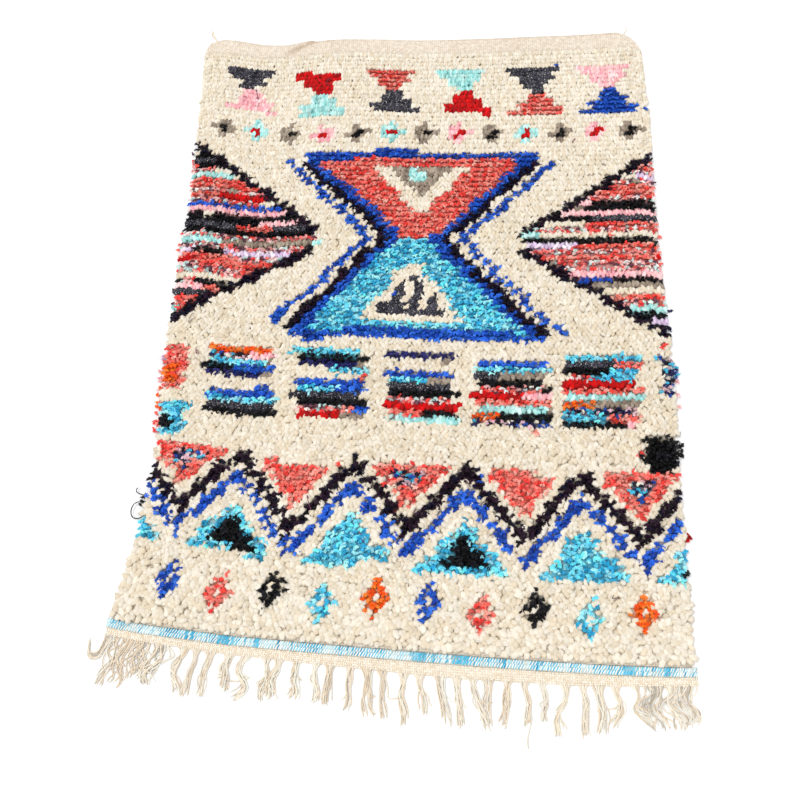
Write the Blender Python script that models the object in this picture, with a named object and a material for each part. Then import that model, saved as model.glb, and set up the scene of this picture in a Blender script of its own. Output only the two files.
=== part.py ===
"""An Azilal rug of knotted wool, lying flat on the floor.

Lengths are in metres. +Z is up, and +Y runs from the fringed end to the flat-woven end.
The origin is on the floor, under the middle of the rectangle that the rug and its fringe fill.

The rug is three solids: the piled cloth with its flat-woven far end, the band of light blue
twining that closes the pile off, and the narrow woven strip that carries the fringe.
"""

import math
import random
from typing import NamedTuple

import bmesh
import bpy
from mathutils import Vector, noise

# Heights above the floor
PILE_HEIGHT = 0.0150
WOVEN_THICKNESS = 0.0040
TWINING_HEIGHT = 0.0060
TWINING_EDGE = 0.0040

# The piled cloth, its lumps, and how its rim is drawn in at the floor and at the top
WOVEN_END = 0.052
END_SHOULDER = 0.007
CLOTH_COLUMNS = 32
PILE_ROWS = 46
LUMP_HEIGHT = 0.0032
LUMP_PITCH = 0.040
RIM_HEIGHT = 0.0075
RIM_LUMP = 0.0022
RIM_LUMP_PITCH = 0.020
BASE_INSET = 0.0035
TOP_INSET = 0.0050
TOP_DROP = 0.0030

# Locks of pile that stand out at the two long sides
RIM_SEED = 3
RIM_LOCK_SHARE = 0.75
RIM_LOCK_OUT = (0.004, 0.009)
RIM_LOCK_STRAY = 0.004
RIM_LOCK_DROP = 0.0019
UPRIGHT = 0.8

# The twined band, and the gap that parts it from its neighbours
GAP = 0.0003
TWINING_WIDTH = 0.0170
TWINING_COLUMNS = 44
TWINING_ROWS = (0.0, 0.3, 0.7, 1.0)

# The fringe
FRINGE_SEED = 11
BUNDLES = 42
BUNDLE_STRAY = (0.2, 0.8)
LOCKS_IN_BUNDLE = 3
LOCK_WIDTH = 0.0048
LOCK_TIP_WIDTH = 0.0026
LOCK_TIP_HEIGHT = 0.0026
LOCK_GAP = 0.0014
LOCK_STEPS = 4
LOCK_SPREAD = 0.0016
LEAN_POWER = 1.4
WAVE = 0.0040
WAVE_TURNS = 0.75
SWAY = 0.0080
SWAY_PITCH = 0.35
OUTER_LOCK_SHORTER = 0.06
FRINGE_LENGTH = (0.062, 0.082)
LONGEST_LOCK = 0.092
LONGEST_BUNDLE = 30


class Side(NamedTuple):
    """Where the two long edges are, at a share of the way from the twining to the far end."""

    along: float
    left: float
    right: float


class End(NamedTuple):
    """Where the pile's near edge and the cloth's far edge are, at a share of the way across."""

    across: float
    near: float
    far: float


class Hem(NamedTuple):
    """How wide the strip below the twining is, and how far its fringe leans, across the rug."""

    across: float
    width: float
    lean: float


class LockStep(NamedTuple):
    """A section of a lock of pile: how far out it is, and what is left of the last one's size."""

    out: float
    width: float
    height: float


class Fabric(NamedTuple):
    """A finish: its name, its colour and its roughness."""

    name: str
    colour: tuple
    roughness: float


SIDES = (
    Side(along=0.00, left=-0.520, right=0.535),
    Side(along=0.03, left=-0.514, right=0.537),
    Side(along=0.08, left=-0.501, right=0.539),
    Side(along=0.15, left=-0.493, right=0.539),
    Side(along=0.23, left=-0.489, right=0.540),
    Side(along=0.31, left=-0.496, right=0.543),
    Side(along=0.39, left=-0.504, right=0.546),
    Side(along=0.49, left=-0.508, right=0.543),
    Side(along=0.60, left=-0.510, right=0.539),
    Side(along=0.71, left=-0.513, right=0.541),
    Side(along=0.81, left=-0.521, right=0.545),
    Side(along=0.90, left=-0.528, right=0.542),
    Side(along=0.957, left=-0.534, right=0.539),
    Side(along=0.983, left=-0.531, right=0.529),
    Side(along=1.00, left=-0.522, right=0.512),
)

ENDS = (
    End(across=0.00, near=-0.660, far=0.797),
    End(across=0.03, near=-0.665, far=0.808),
    End(across=0.08, near=-0.672, far=0.801),
    End(across=0.13, near=-0.677, far=0.790),
    End(across=0.19, near=-0.683, far=0.789),
    End(across=0.24, near=-0.687, far=0.799),
    End(across=0.29, near=-0.690, far=0.809),
    End(across=0.40, near=-0.696, far=0.810),
    End(across=0.50, near=-0.701, far=0.807),
    End(across=0.65, near=-0.708, far=0.813),
    End(across=0.80, near=-0.713, far=0.822),
    End(across=0.92, near=-0.715, far=0.830),
    End(across=0.98, near=-0.714, far=0.835),
    End(across=1.00, near=-0.713, far=0.820),
)

HEMS = (
    Hem(across=0.00, width=0.013, lean=-0.034),
    Hem(across=0.06, width=0.014, lean=-0.024),
    Hem(across=0.16, width=0.015, lean=-0.012),
    Hem(across=0.35, width=0.018, lean=-0.004),
    Hem(across=0.50, width=0.022, lean=0.006),
    Hem(across=0.65, width=0.023, lean=0.012),
    Hem(across=0.80, width=0.021, lean=0.004),
    Hem(across=0.92, width=0.017, lean=0.010),
    Hem(across=1.00, width=0.014, lean=0.008),
)

RIM_LOCK = (
    LockStep(out=0.0, width=0.36, height=0.8),
    LockStep(out=1.0, width=0.50, height=0.6),
)

CREAM_WOOL = Fabric(name="cream wool", colour=(0.78, 0.71, 0.58), roughness=0.95)
BLUE_COTTON = Fabric(name="light blue cotton", colour=(0.42, 0.75, 0.86), roughness=0.85)
ECRU_COTTON = Fabric(name="ecru cotton", colour=(0.80, 0.75, 0.66), roughness=0.9)


def read_curve(table, key, value, at):
    """The value column of a table at a place on its key column, on a smooth curve through the rows."""
    keys = [getattr(row, key) for row in table]
    values = [getattr(row, value) for row in table]
    slopes = []
    for i in range(len(keys)):
        before, after = max(i - 1, 0), min(i + 1, len(keys) - 1)
        slopes.append((values[after] - values[before]) / (keys[after] - keys[before]))
    i = 0
    while i < len(keys) - 2 and at > keys[i + 1]:
        i += 1
    span = keys[i + 1] - keys[i]
    t = min(max((at - keys[i]) / span, 0.0), 1.0)
    return (
        values[i] * (1 + 2 * t) * (1 - t) ** 2
        + slopes[i] * span * t * (1 - t) ** 2
        + values[i + 1] * t * t * (3 - 2 * t)
        + slopes[i + 1] * span * t * t * (t - 1)
    )


def left_edge(along):
    return read_curve(SIDES, "along", "left", along)


def right_edge(along):
    return read_curve(SIDES, "along", "right", along)


def near_edge(across):
    return read_curve(ENDS, "across", "near", across)


def far_edge(across):
    return read_curve(ENDS, "across", "far", across)


def hem_width(across):
    return read_curve(HEMS, "across", "width", across)


def cloth_point(across, along, side_inset=0.0, near_inset=0.0):
    """The place on the floor of a point of the piled cloth, drawn in from its sides and near edge."""
    left, right = left_edge(along) + side_inset, right_edge(along) - side_inset
    near, far = near_edge(across) + near_inset, far_edge(across)
    return left + (right - left) * across, near + (far - near) * along


def near_end_width():
    """How wide the rug is where the pile ends at the twining."""
    return right_edge(0.0) - left_edge(0.0)


def below_pile(across, drop):
    """A point below the pile's near edge, where the twining and the strip lie."""
    return left_edge(0.0) + near_end_width() * across, near_edge(across) - drop


def lumps(x, y, pitch):
    """An uneven surface, from -1 to 1, whose lumps are about pitch apart."""
    return noise.noise(Vector((x, y, 0.0)) / pitch)


def dye(fabric):
    """The material of a fabric."""
    material = bpy.data.materials.new(fabric.name)
    material.use_nodes = True
    shader = material.node_tree.nodes["Principled BSDF"]
    shader.inputs["Base Color"].default_value = (*fabric.colour, 1.0)
    shader.inputs["Roughness"].default_value = fabric.roughness
    shader.inputs["Metallic"].default_value = 0.0
    material.diffuse_color = (*fabric.colour, 1.0)
    return material


def as_object(bm, name, fabric):
    bmesh.ops.recalc_face_normals(bm, faces=bm.faces[:])
    mesh = bpy.data.meshes.new(name)
    bm.to_mesh(mesh)
    bm.free()
    mesh.materials.append(dye(fabric))
    made = bpy.data.objects.new(name, mesh)
    bpy.context.scene.collection.objects.link(made)
    return made


def slab(across_places, along_places):
    """A closed slab on a grid, and its layers that tell each vertex's place on the grid and its level,
    0 on the underside and 1 on the face. The underside is one flat face."""
    bm = bmesh.new()
    columns, rows = len(across_places) - 1, len(along_places) - 1
    size = 1.0
    bmesh.ops.create_grid(bm, x_segments=columns, y_segments=rows, size=size / 2)
    across = bm.verts.layers.float.new("across")
    along = bm.verts.layers.float.new("along")
    level = bm.verts.layers.float.new("level")
    for vert in bm.verts:
        vert[across] = across_places[round((vert.co.x / size + 0.5) * columns)]
        vert[along] = along_places[round((vert.co.y / size + 0.5) * rows)]
    raised = bmesh.ops.extrude_face_region(bm, geom=bm.faces[:])["geom"]
    for item in raised:
        if isinstance(item, bmesh.types.BMVert):
            item[level] = 1.0
            item.co.z = WOVEN_THICKNESS
    underside = [f for f in bm.faces if all(v[level] == 0.0 for v in f.verts)]
    bmesh.ops.dissolve_faces(bm, faces=underside)
    return bm, across, along, level


def drawn_out(bm, face):
    """Extrudes one face of a closed body, and returns the face at the new end."""
    moved = bmesh.ops.extrude_face_region(bm, geom=[face, *face.edges, *face.verts])["geom"]
    return next(item for item in moved if isinstance(item, bmesh.types.BMFace))


def piled_cloth():
    """The cloth with its knotted pile, a lumpy slab, and the flat-woven end beyond it."""
    length = far_edge(0.5) - near_edge(0.5)
    pile_end = 1.0 - WOVEN_END / length
    shoulder_end = pile_end + END_SHOULDER / length
    along_places = [pile_end * row / PILE_ROWS for row in range(PILE_ROWS + 1)]
    along_places += [shoulder_end, (shoulder_end + 1.0) / 2, 1.0]
    across_places = [column / CLOTH_COLUMNS for column in range(CLOTH_COLUMNS + 1)]
    bm, across, along, level = slab(across_places, along_places)

    upright = [e for e in bm.edges if e.verts[0][level] != e.verts[1][level]]
    bmesh.ops.subdivide_edges(bm, edges=upright, cuts=1)

    for vert in bm.verts:
        u, v, height = vert[across], vert[along], vert[level]
        x, y = cloth_point(u, v)
        lump = LUMP_HEIGHT * lumps(x, y, LUMP_PITCH)
        if v > (pile_end + shoulder_end) / 2:
            vert.co = (x, y, WOVEN_THICKNESS * height)
        elif height == 0.0:
            vert.co = (*cloth_point(u, v, side_inset=BASE_INSET), 0.0)
        elif height < 1.0:
            swell = RIM_LUMP * lumps(x, y, RIM_LUMP_PITCH)
            vert.co = (*cloth_point(u, v, -swell, abs(swell)), RIM_HEIGHT)
        elif u in (0.0, 1.0) or v == 0.0:
            vert.co = (*cloth_point(u, v, TOP_INSET, TOP_INSET), PILE_HEIGHT - TOP_DROP + lump)
        else:
            vert.co = (x, y, PILE_HEIGHT + lump)
    bm.normal_update()
    rim_locks(bm, across, along, level, pile_end)
    return as_object(bm, "piled_cloth", CREAM_WOOL)


def rim_locks(bm, across, along, level, pile_end):
    """Draws short locks of pile out of the upper faces along the two long sides."""
    chance = random.Random(RIM_SEED)
    sides = [
        f
        for f in bm.faces
        if abs(f.normal.z) < UPRIGHT
        and len({v[across] for v in f.verts}) == 1
        and max(v[along] for v in f.verts) <= pile_end
        and min(v[level] for v in f.verts) > 0.0
    ]
    sides.sort(key=lambda f: (f.verts[0][across], f.calc_center_median().y))
    for face in sides:
        if chance.random() > RIM_LOCK_SHARE:
            continue
        reach = chance.uniform(*RIM_LOCK_OUT)
        outward = reach if face.verts[0][across] == 1.0 else -reach
        stray = chance.uniform(-RIM_LOCK_STRAY, RIM_LOCK_STRAY)
        root = face.calc_center_median()
        tip = root + Vector((outward, stray, -RIM_LOCK_DROP))
        for step in RIM_LOCK:
            start = face.calc_center_median()
            centre = root.lerp(tip, step.out)
            face = drawn_out(bm, face)
            for vert in face.verts:
                vert.co.x = centre.x + (vert.co.x - start.x) * step.height
                vert.co.y = centre.y + (vert.co.y - start.y) * step.width
                vert.co.z = centre.z + (vert.co.z - start.z) * step.height


def twined_band():
    """The band of light blue twining: a low rounded ridge across the whole rug."""
    across_places = [column / TWINING_COLUMNS for column in range(TWINING_COLUMNS + 1)]
    bm, across, along, level = slab(across_places, TWINING_ROWS)
    for vert in bm.verts:
        drop = GAP + TWINING_WIDTH * (1.0 - vert[along])
        top = TWINING_EDGE if vert[along] in (0.0, 1.0) else TWINING_HEIGHT
        vert.co = (*below_pile(vert[across], drop), top * vert[level])
    return as_object(bm, "twined_band", BLUE_COTTON)


class Lock(NamedTuple):
    """A lock of the fringe: its bundle, its number in it, and its two sides along the strip."""

    bundle: int
    number: int
    left: float
    right: float


def fringe_locks(chance):
    """Every lock of the fringe, from left to right."""
    pitch = (near_end_width() - 2 * LOCK_GAP) / BUNDLES
    bundle_width = LOCKS_IN_BUNDLE * LOCK_WIDTH + (LOCKS_IN_BUNDLE - 1) * LOCK_GAP
    slack = pitch - bundle_width - 2 * LOCK_GAP
    found = []
    for bundle in range(BUNDLES):
        start = 2 * LOCK_GAP + bundle * pitch + chance.uniform(*BUNDLE_STRAY) * slack
        for number in range(LOCKS_IN_BUNDLE):
            left = start + number * (LOCK_WIDTH + LOCK_GAP)
            found.append(Lock(bundle, number, left, left + LOCK_WIDTH))
    return found


def draw_lock(bm, face, lean, spread, length, wave):
    """Draws one lock of the fringe out of a face of the strip's edge, level on the floor."""
    root = face.calc_center_median()
    for step in range(1, LOCK_STEPS + 1):
        share = step / LOCK_STEPS
        half = (LOCK_WIDTH + (LOCK_TIP_WIDTH - LOCK_WIDTH) * share) / 2
        height = WOVEN_THICKNESS + (LOCK_TIP_HEIGHT - WOVEN_THICKNESS) * share
        bend = wave * math.sin(2 * math.pi * WAVE_TURNS * share)
        x = root.x + lean * share**LEAN_POWER + spread * share + bend
        y = root.y - length * share
        start = face.calc_center_median()
        face = drawn_out(bm, face)
        for vert in face.verts:
            right, raised = vert.co.x > start.x, vert.co.z > start.z
            vert.co = (x + (half if right else -half), y, height if raised else 0.0)


def fringed_strip():
    """The narrow woven strip and the fringe of warp ends that hangs from it."""
    chance = random.Random(FRINGE_SEED)
    locks = fringe_locks(chance)
    edges = [edge for lock in locks for edge in (lock.left, lock.right)]
    across_places = [0.0] + [edge / near_end_width() for edge in edges] + [1.0]
    bm, across, along, level = slab(across_places, (0.0, 1.0))
    top = 2 * GAP + TWINING_WIDTH
    for vert in bm.verts:
        drop = top + hem_width(vert[across]) * (1.0 - vert[along])
        vert.co = (*below_pile(vert[across], drop), WOVEN_THICKNESS * vert[level])
    bm.normal_update()
    near_faces = [f for f in bm.faces if all(v[along] == 0.0 for v in f.verts)]
    near_faces.sort(key=lambda f: f.calc_center_median().x)
    lengths = [chance.uniform(*FRINGE_LENGTH) for _ in range(BUNDLES)]
    lengths[LONGEST_BUNDLE] = LONGEST_LOCK
    middle = (LOCKS_IN_BUNDLE - 1) / 2
    # Every second face of the near edge is the root of a lock, and the others lie between two locks
    for lock, face in zip(locks, near_faces[1::2]):
        drift = noise.noise(Vector((SWAY_PITCH * lock.bundle, 0.0, 0.0)))
        lean = read_curve(HEMS, "across", "lean", lock.bundle / (BUNDLES - 1)) + SWAY * drift
        length = lengths[lock.bundle] * (1.0 - OUTER_LOCK_SHORTER * abs(lock.number - middle))
        spread = LOCK_SPREAD * (lock.number - middle)
        draw_lock(bm, face, lean, spread, length, WAVE * drift)
    return as_object(bm, "fringed_strip", ECRU_COTTON)


def build():
    for old in list(bpy.data.objects):
        bpy.data.objects.remove(old)
    piled_cloth()
    twined_band()
    fringed_strip()


build()
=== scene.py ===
# %% [markdown]
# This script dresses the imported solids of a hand-knotted rug that lies flat on a floor.
# The real rug is one weaving: a ground of cotton and wool threads, with rows of knots tied on it.
# Its near end has a raised band of twining, a narrow plain weave and the warp ends as a fringe.
# The solids give each place and size, and every piece here is made on them.

import bmesh
import bpy
import numpy as np
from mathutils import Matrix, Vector, noise


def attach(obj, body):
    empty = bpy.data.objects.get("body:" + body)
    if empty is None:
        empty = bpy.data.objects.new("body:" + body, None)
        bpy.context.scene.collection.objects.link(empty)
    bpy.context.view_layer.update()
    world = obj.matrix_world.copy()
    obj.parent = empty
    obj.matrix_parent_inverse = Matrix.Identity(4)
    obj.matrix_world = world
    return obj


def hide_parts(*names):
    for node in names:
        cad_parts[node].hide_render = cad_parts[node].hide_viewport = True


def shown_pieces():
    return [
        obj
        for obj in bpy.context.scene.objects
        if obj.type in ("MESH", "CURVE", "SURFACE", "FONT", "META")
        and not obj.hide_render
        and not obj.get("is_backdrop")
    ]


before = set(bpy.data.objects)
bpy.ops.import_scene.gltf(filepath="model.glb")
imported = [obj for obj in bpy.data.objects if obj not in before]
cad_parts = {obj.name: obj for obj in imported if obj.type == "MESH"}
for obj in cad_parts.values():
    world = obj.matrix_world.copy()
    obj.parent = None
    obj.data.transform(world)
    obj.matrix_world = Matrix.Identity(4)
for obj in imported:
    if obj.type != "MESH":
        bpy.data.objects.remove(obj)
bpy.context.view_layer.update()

# %% [markdown]
# A weaver's rug is never a true rectangle: its sides draw in and its ends wave.
# The outline could be typed in again, but then it could differ from the solid that it dresses.
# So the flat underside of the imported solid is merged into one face, whose corners run round the rug.

# %% Read the outline from the solid
UNDERSIDE = 0.0005
WELD = 0.00001


def underside_loop(node_name):
    """The corners of a solid's flat underside, anticlockwise from above."""
    flat = bmesh.new()
    flat.from_mesh(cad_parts[node_name].data)
    bmesh.ops.remove_doubles(flat, verts=flat.verts[:], dist=WELD)
    raised = [vert for vert in flat.verts if vert.co.z > UNDERSIDE]
    bmesh.ops.delete(flat, geom=raised, context="VERTS")
    bmesh.ops.dissolve_faces(flat, faces=flat.faces[:])
    face = max(flat.faces, key=lambda one: one.calc_area())
    loop = np.array([vert.co[:2] for vert in face.verts])
    flat.free()
    x, y = loop.T
    turning = np.sum(x * np.roll(y, -1) - np.roll(x, -1) * y)
    return loop if turning > 0 else loop[::-1]


loop = underside_loop("piled_cloth")
near_left = int(np.argmin(loop.sum(axis=1)))
far_right = int(np.argmax(loop.sum(axis=1)))
near_right = int(np.argmax(loop[:, 0] - loop[:, 1]))
far_left = int(np.argmin(loop[:, 0] - loop[:, 1]))
print("outline", len(loop), "points, corners", [loop[i].round(3).tolist() for i in
                                                (near_left, near_right, far_right, far_left)])

# %% [markdown]
# Four lines give the rug's edges, each cut out of the outline between two corners. The outline
# runs anticlockwise, so two of them are turned round. Then the near and the far edge run to the
# right, and the two sides run away from the near end.

# %% Edges of the rug
def stretch(start, stop):
    """The points of the outline from one corner to the next."""
    steps = (stop - start) % len(loop) + 1
    return loop[np.arange(start, start + steps) % len(loop)]


near_edge = stretch(near_left, near_right)
right_edge = stretch(near_right, far_right)
far_edge = stretch(far_right, far_left)[::-1]
left_edge = stretch(far_left, near_left)[::-1]
near_across = (near_edge[:, 0] - near_edge[0, 0]) / np.ptp(near_edge[:, 0])
far_across = (far_edge[:, 0] - far_edge[0, 0]) / np.ptp(far_edge[:, 0])


def near_y(across):
    """The y of the piled cloth's near edge."""
    return np.interp(across, near_across, near_edge[:, 1])


def far_y(across):
    """The y of the cloth's far edge."""
    return np.interp(across, far_across, far_edge[:, 1])


print("edges with", [len(edge) for edge in (near_edge, right_edge, far_edge, left_edge)], "points")

# %% [markdown]
# Everything on the rug has a place across it, from 0 at the left to 1 at the right, and along it,
# from 0 at the near end to 1 at the far end. A point between the edges is blended from its two
# ends. The same helper then serves the knots, the cloth and the band. Along the pile the solid's
# flat underside is a little narrower than the slab above it, so the sides are moved out there.

# %% Places on the rug
WOVEN_THICKNESS = 0.0040
WOVEN_END = 0.052
BASE_INSET = 0.0035
left_along = (left_edge[:, 1] - left_edge[0, 1]) / np.ptp(left_edge[:, 1])
right_along = (right_edge[:, 1] - right_edge[0, 1]) / np.ptp(right_edge[:, 1])
middle_length = far_y(0.5) - near_y(0.5)
PILE_END = 1.0 - WOVEN_END / middle_length
left_sides = left_edge[:, 0] - BASE_INSET * (left_along < PILE_END)
right_sides = right_edge[:, 0] + BASE_INSET * (right_along < PILE_END)


def rug_place(across, along):
    """x and y of points given by their shares across and along the rug."""
    near, far = near_y(across), far_y(across)
    left = np.interp(along, left_along, left_sides)
    right = np.interp(along, right_along, right_sides)
    return left + (right - left) * across, near + (far - near) * along


LEFT, RIGHT = left_sides[0], right_sides[0]


def near_x(across):
    """The x of a place across the near end."""
    return LEFT + (RIGHT - LEFT) * across


print("near end", round(RIGHT - LEFT, 3), "m wide, length", round(float(middle_length), 3), "m, pile to",
      round(float(PILE_END), 3))

# %% [markdown]
# The pile is wool and strips of old cotton clothes. Each yarn here has the shades that its knots
# show, so that one colour never looks printed. Colours are written as a dyer's card would be read
# on a screen, and turned into the light values that Blender works with.

# %% Dye card
WOOL, RAG = 0, 1
CARD = {
    "cream": (WOOL, [(227, 217, 199), (223, 211, 190), (219, 205, 181), (231, 222, 206)]),
    "royal": (RAG, [(42, 104, 216), (34, 90, 200), (60, 124, 230), (28, 70, 172)]),
    "turquoise": (RAG, [(130, 230, 254), (106, 222, 250), (174, 243, 255), (52, 168, 208)]),
    "coral": (RAG, [(255, 146, 132), (255, 122, 110), (255, 174, 160), (244, 78, 70)]),
    "aubergine": (RAG, [(32, 9, 30), (22, 6, 24), (44, 18, 42), (16, 10, 44)]),
    "black": (RAG, [(12, 12, 17), (6, 6, 10), (27, 27, 34)]),
    "charcoal": (WOOL, [(48, 46, 56), (36, 34, 44), (62, 60, 70)]),
    "pink": (WOOL, [(244, 182, 186), (236, 166, 174), (248, 198, 198)]),
    "red": (WOOL, [(186, 0, 8), (160, 0, 6), (206, 8, 16)]),
    "mint": (WOOL, [(167, 218, 212), (146, 207, 205), (190, 227, 223)]),
    "taupe": (WOOL, [(148, 133, 118), (130, 116, 103), (164, 150, 134)]),
    "lilac": (WOOL, [(218, 200, 224), (206, 182, 214), (232, 220, 234)]),
    "orange": (RAG, [(252, 108, 26), (246, 88, 16), (254, 136, 52)]),
    "multi": (RAG, [(34, 34, 84), (74, 190, 222), (240, 230, 214), (22, 22, 40), (40, 80, 170),
                    (226, 190, 200)]),
    "confetti": (RAG, [(250, 172, 168), (246, 112, 102), (250, 206, 204), (252, 242, 234), (206, 234, 230),
                       (248, 146, 138), (240, 76, 72), (112, 70, 86)]),
    "navy": (RAG, [(40, 40, 104), (28, 28, 80), (58, 58, 128)]),
}
YARN = {name: number for number, name in enumerate(CARD)}


def light_value(shade):
    """Screen values from 0 to 255 as linear light, which is what shaders add and multiply."""
    part = np.asarray(shade, float) / 255.0
    return np.where(part <= 0.04045, part / 12.92, ((part + 0.055) / 1.055) ** 2.4)


print("yarns", len(CARD), "of which cotton rag", sum(kind == RAG for kind, shades in CARD.values()))

# %% [markdown]
# The weaver works row by row and counts knots, so a slanting line climbs in steps and wanders a
# little. The design is kept as a chart: one yarn number for each knot. Motifs are drawn on two
# coordinate charts that already carry the wander, so that straight rules give hand-made lines.
# The motifs are the common ones of such rugs, laid out afresh here.

# %% Start the chart
COLUMNS = 107
ROWS = 100


def wander(share, seed, waves=5):
    """A smooth wandering line, about -1 to 1, over shares from 0 to 1."""
    phases = np.random.default_rng(seed).uniform(0.0, 2.0 * np.pi, waves)
    parts = [np.sin(2.0 * np.pi * (0.7 + 0.9 * k) * share + phases[k]) / (1.0 + 0.6 * k)
             for k in range(waves)]
    return sum(parts) / 2.0


hand = np.random.default_rng(27)
row, column = np.mgrid[0:ROWS, 0:COLUMNS].astype(float)
steps = hand.uniform(-0.75, 0.75, (ROWS, 1))
C = column + 1.5 * wander(row / ROWS, 3) + steps
R = row + 1.1 * wander(column / COLUMNS, 5)
chart = np.full((ROWS, COLUMNS), YARN["cream"])


def tie(where, yarn):
    """Ties knots of one yarn where the mask is true."""
    chart[where] = YARN[yarn]


print("chart", COLUMNS, "columns by", ROWS, "rows,", chart.size, "knots")

# %% [markdown]
# Next to the near end comes a row of small lozenges, and above it a zigzag across the whole
# width: a blue line, a cream one and an aubergine one. Triangles fill its bays.

# %% Lozenges and zigzag
LOZENGES = ["royal", "coral", "black", "turquoise", "orange"]
lift = hand.integers(0, 2, 12)
for number, middle in enumerate(range(8, COLUMNS - 4, 10)):
    arms = np.abs(row - 4.0 - lift[number]) + 0.8 * np.abs(column - middle)
    tie(arms < 2.3, LOZENGES[number % len(LOZENGES)])
    tie(arms < 0.7, "cream")

PERIOD = 23.0
swing = np.abs(((C + 4.0) / PERIOD) % 1.0 * 2.0 - 1.0)
above = R - (10.0 + 8.5 * swing)
valley = np.floor((C + 4.0) / PERIOD).astype(int)
peak = np.round((C + 4.0) / PERIOD).astype(int)
tie((above >= 0.0) & (above < 1.7), "royal")
tie((above >= 2.8) & (above < 5.0), "aubergine")
tie((above > 6.6) & (R < 22.6), "coral")
tie((above < -2.8) & (R > 9.0), "turquoise")
tie((above < -4.7) & (R > 9.6) & (peak % 2 == 1), "black")
tie((above > 8.8) & (R < 21.4) & (valley % 2 == 0), "multi")
print("zigzag and lozenges", int((chart != YARN["cream"]).sum()), "coloured knots")

# %% [markdown]
# Five blocks of stripes use up short lengths of yarn, one row of knots to a stripe, and their
# ends don't quite line up. Where a length runs out inside a row, the row goes on in another yarn.

# %% Striped blocks
STRIPES = ["black", "cream", "turquoise", "coral", "charcoal", "cream", "multi", "red",
           "turquoise", "navy", "orange", "confetti", "royal", "black", "mint"]
BLOCK_MENDS = ["coral", "royal", "taupe", "black", "turquoise", "pink"]
BLOCKS, BLOCK_ROWS, BLOCK_COLUMNS = 5, 11, 15
BLOCK_START, BLOCK_PITCH, BLOCK_FIRST_ROW = 9, 19, 29
lengths = np.random.default_rng(63)
for number in range(BLOCKS):
    start = BLOCK_START + BLOCK_PITCH * number
    for step in range(BLOCK_ROWS):
        first = start + hand.integers(-1, 2)
        last = start + BLOCK_COLUMNS + hand.integers(-1, 2)
        stripe = (row == BLOCK_FIRST_ROW + step) & (column >= first) & (column < last)
        tie(stripe, STRIPES[(step * 4 + number * 7) % len(STRIPES)])
        used_up, mended = lengths.integers(4, 30), lengths.integers(0, len(BLOCK_MENDS))
        tie(stripe & (column >= first + used_up), BLOCK_MENDS[mended])
print("after the stripes", int((chart != YARN["cream"]).sum()), "coloured knots")

# %% [markdown]
# The main motif is an hourglass: two triangles that meet at a waist, with a triangle inside the
# upper one and a comb inside the lower one. Lines of blue, aubergine, cream and blue follow its
# sides, and two striped wedges point at the waist from the rug's sides. A row of a wedge is tied
# in one yarn, and a shorter length of another often takes up a part of it.

# %% Hourglass and wedges
WAIST_ROW, MIDDLE_COLUMN, HALF_HEIGHT = 59.5, 53.0, 16.0
waist = np.abs(R - WAIST_ROW)
off_middle = np.abs(C - MIDDLE_COLUMN)
out = off_middle - (3.0 + 21.0 * waist / HALF_HEIGHT)
figure = waist < HALF_HEIGHT
tie(figure & (out < 0.0) & (R > WAIST_ROW), "coral")
tie(figure & (out < 0.0) & (R < WAIST_ROW), "turquoise")
tie((waist < HALF_HEIGHT + 1.6) & (waist >= HALF_HEIGHT) & (out < 2.4), "royal")
tie(figure & (out >= 0.0) & (out < 2.4), "royal")
tie(figure & (out >= 2.4) & (out < 4.9), "aubergine")
tie(figure & (out >= 6.5) & (out < 8.6), "royal")
upper = R - 64.5
inner = off_middle - 1.15 * upper
tie((upper > 0.0) & (upper < 9.0) & (inner < 1.0), "cream")
tie((upper > 3.5) & (upper < 9.0) & (inner < -3.0), "taupe")
tie((upper > 6.0) & (upper < 8.6) & (off_middle < 2.0), "mint")
lower = R - 44.8
spread = off_middle + lower
tie((lower > 0.0) & (lower < 9.5) & (spread < 11.5), "cream")
tie((lower > 0.8) & (lower < 2.2) & (spread < 9.0), "charcoal")
tie((lower >= 2.2) & (lower < 7.5) & (spread < 9.0) & ((C - MIDDLE_COLUMN) % 4.0 < 1.8), "charcoal")

WEDGE = ["confetti", "coral", "confetti", "black", "mint", "confetti", "charcoal", "lilac", "pink",
         "confetti", "red", "pink", "confetti"]
WEDGE_MENDS = ["coral", "confetti", "cream", "royal", "coral", "black", "confetti", "taupe", "coral"]
WEDGE_TIP = 23.0
for side in (-1, 1):
    reach = (C - MIDDLE_COLUMN) * side - (WEDGE_TIP + side)
    depth = 0.6 + 0.50 * reach
    inside = (reach > 0.0) & (waist < depth)
    for step in range(41, 79):
        tie(inside & (row == step), WEDGE[(step * 5 + (3 if side > 0 else 0)) % len(WEDGE)])
        used_up, taken_up = np.sort(lengths.integers(-8, 40, 2))
        mended = WEDGE_MENDS[lengths.integers(0, len(WEDGE_MENDS))]
        tie(inside & (row == step) & (reach > used_up) & (reach < taken_up), mended)
    tie((reach > 0.0) & (waist >= depth) & (waist < depth + 1.7), "aubergine")
print("after the hourglass", int((chart != YARN["cream"]).sum()), "coloured knots")

# %% [markdown]
# Towards the far end come a chain of small lozenges and a row of two-coloured hourglasses. A few
# blocks stand at the sides, and here and there a single knot of colour strayed into the cream.

# %% Far motifs and strays
CHAIN_ROW, NECK_ROW = 81.0, 90.5
for number, middle in enumerate(range(5, COLUMNS, 8)):
    ring = np.abs(R - CHAIN_ROW) * 1.3 + np.abs(C - middle)
    tie(ring < 3.1, ["taupe", "mint", "taupe", "pink"][number % 4])
    tie(ring < 1.4, ["black", "red"][number % 2])

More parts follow.
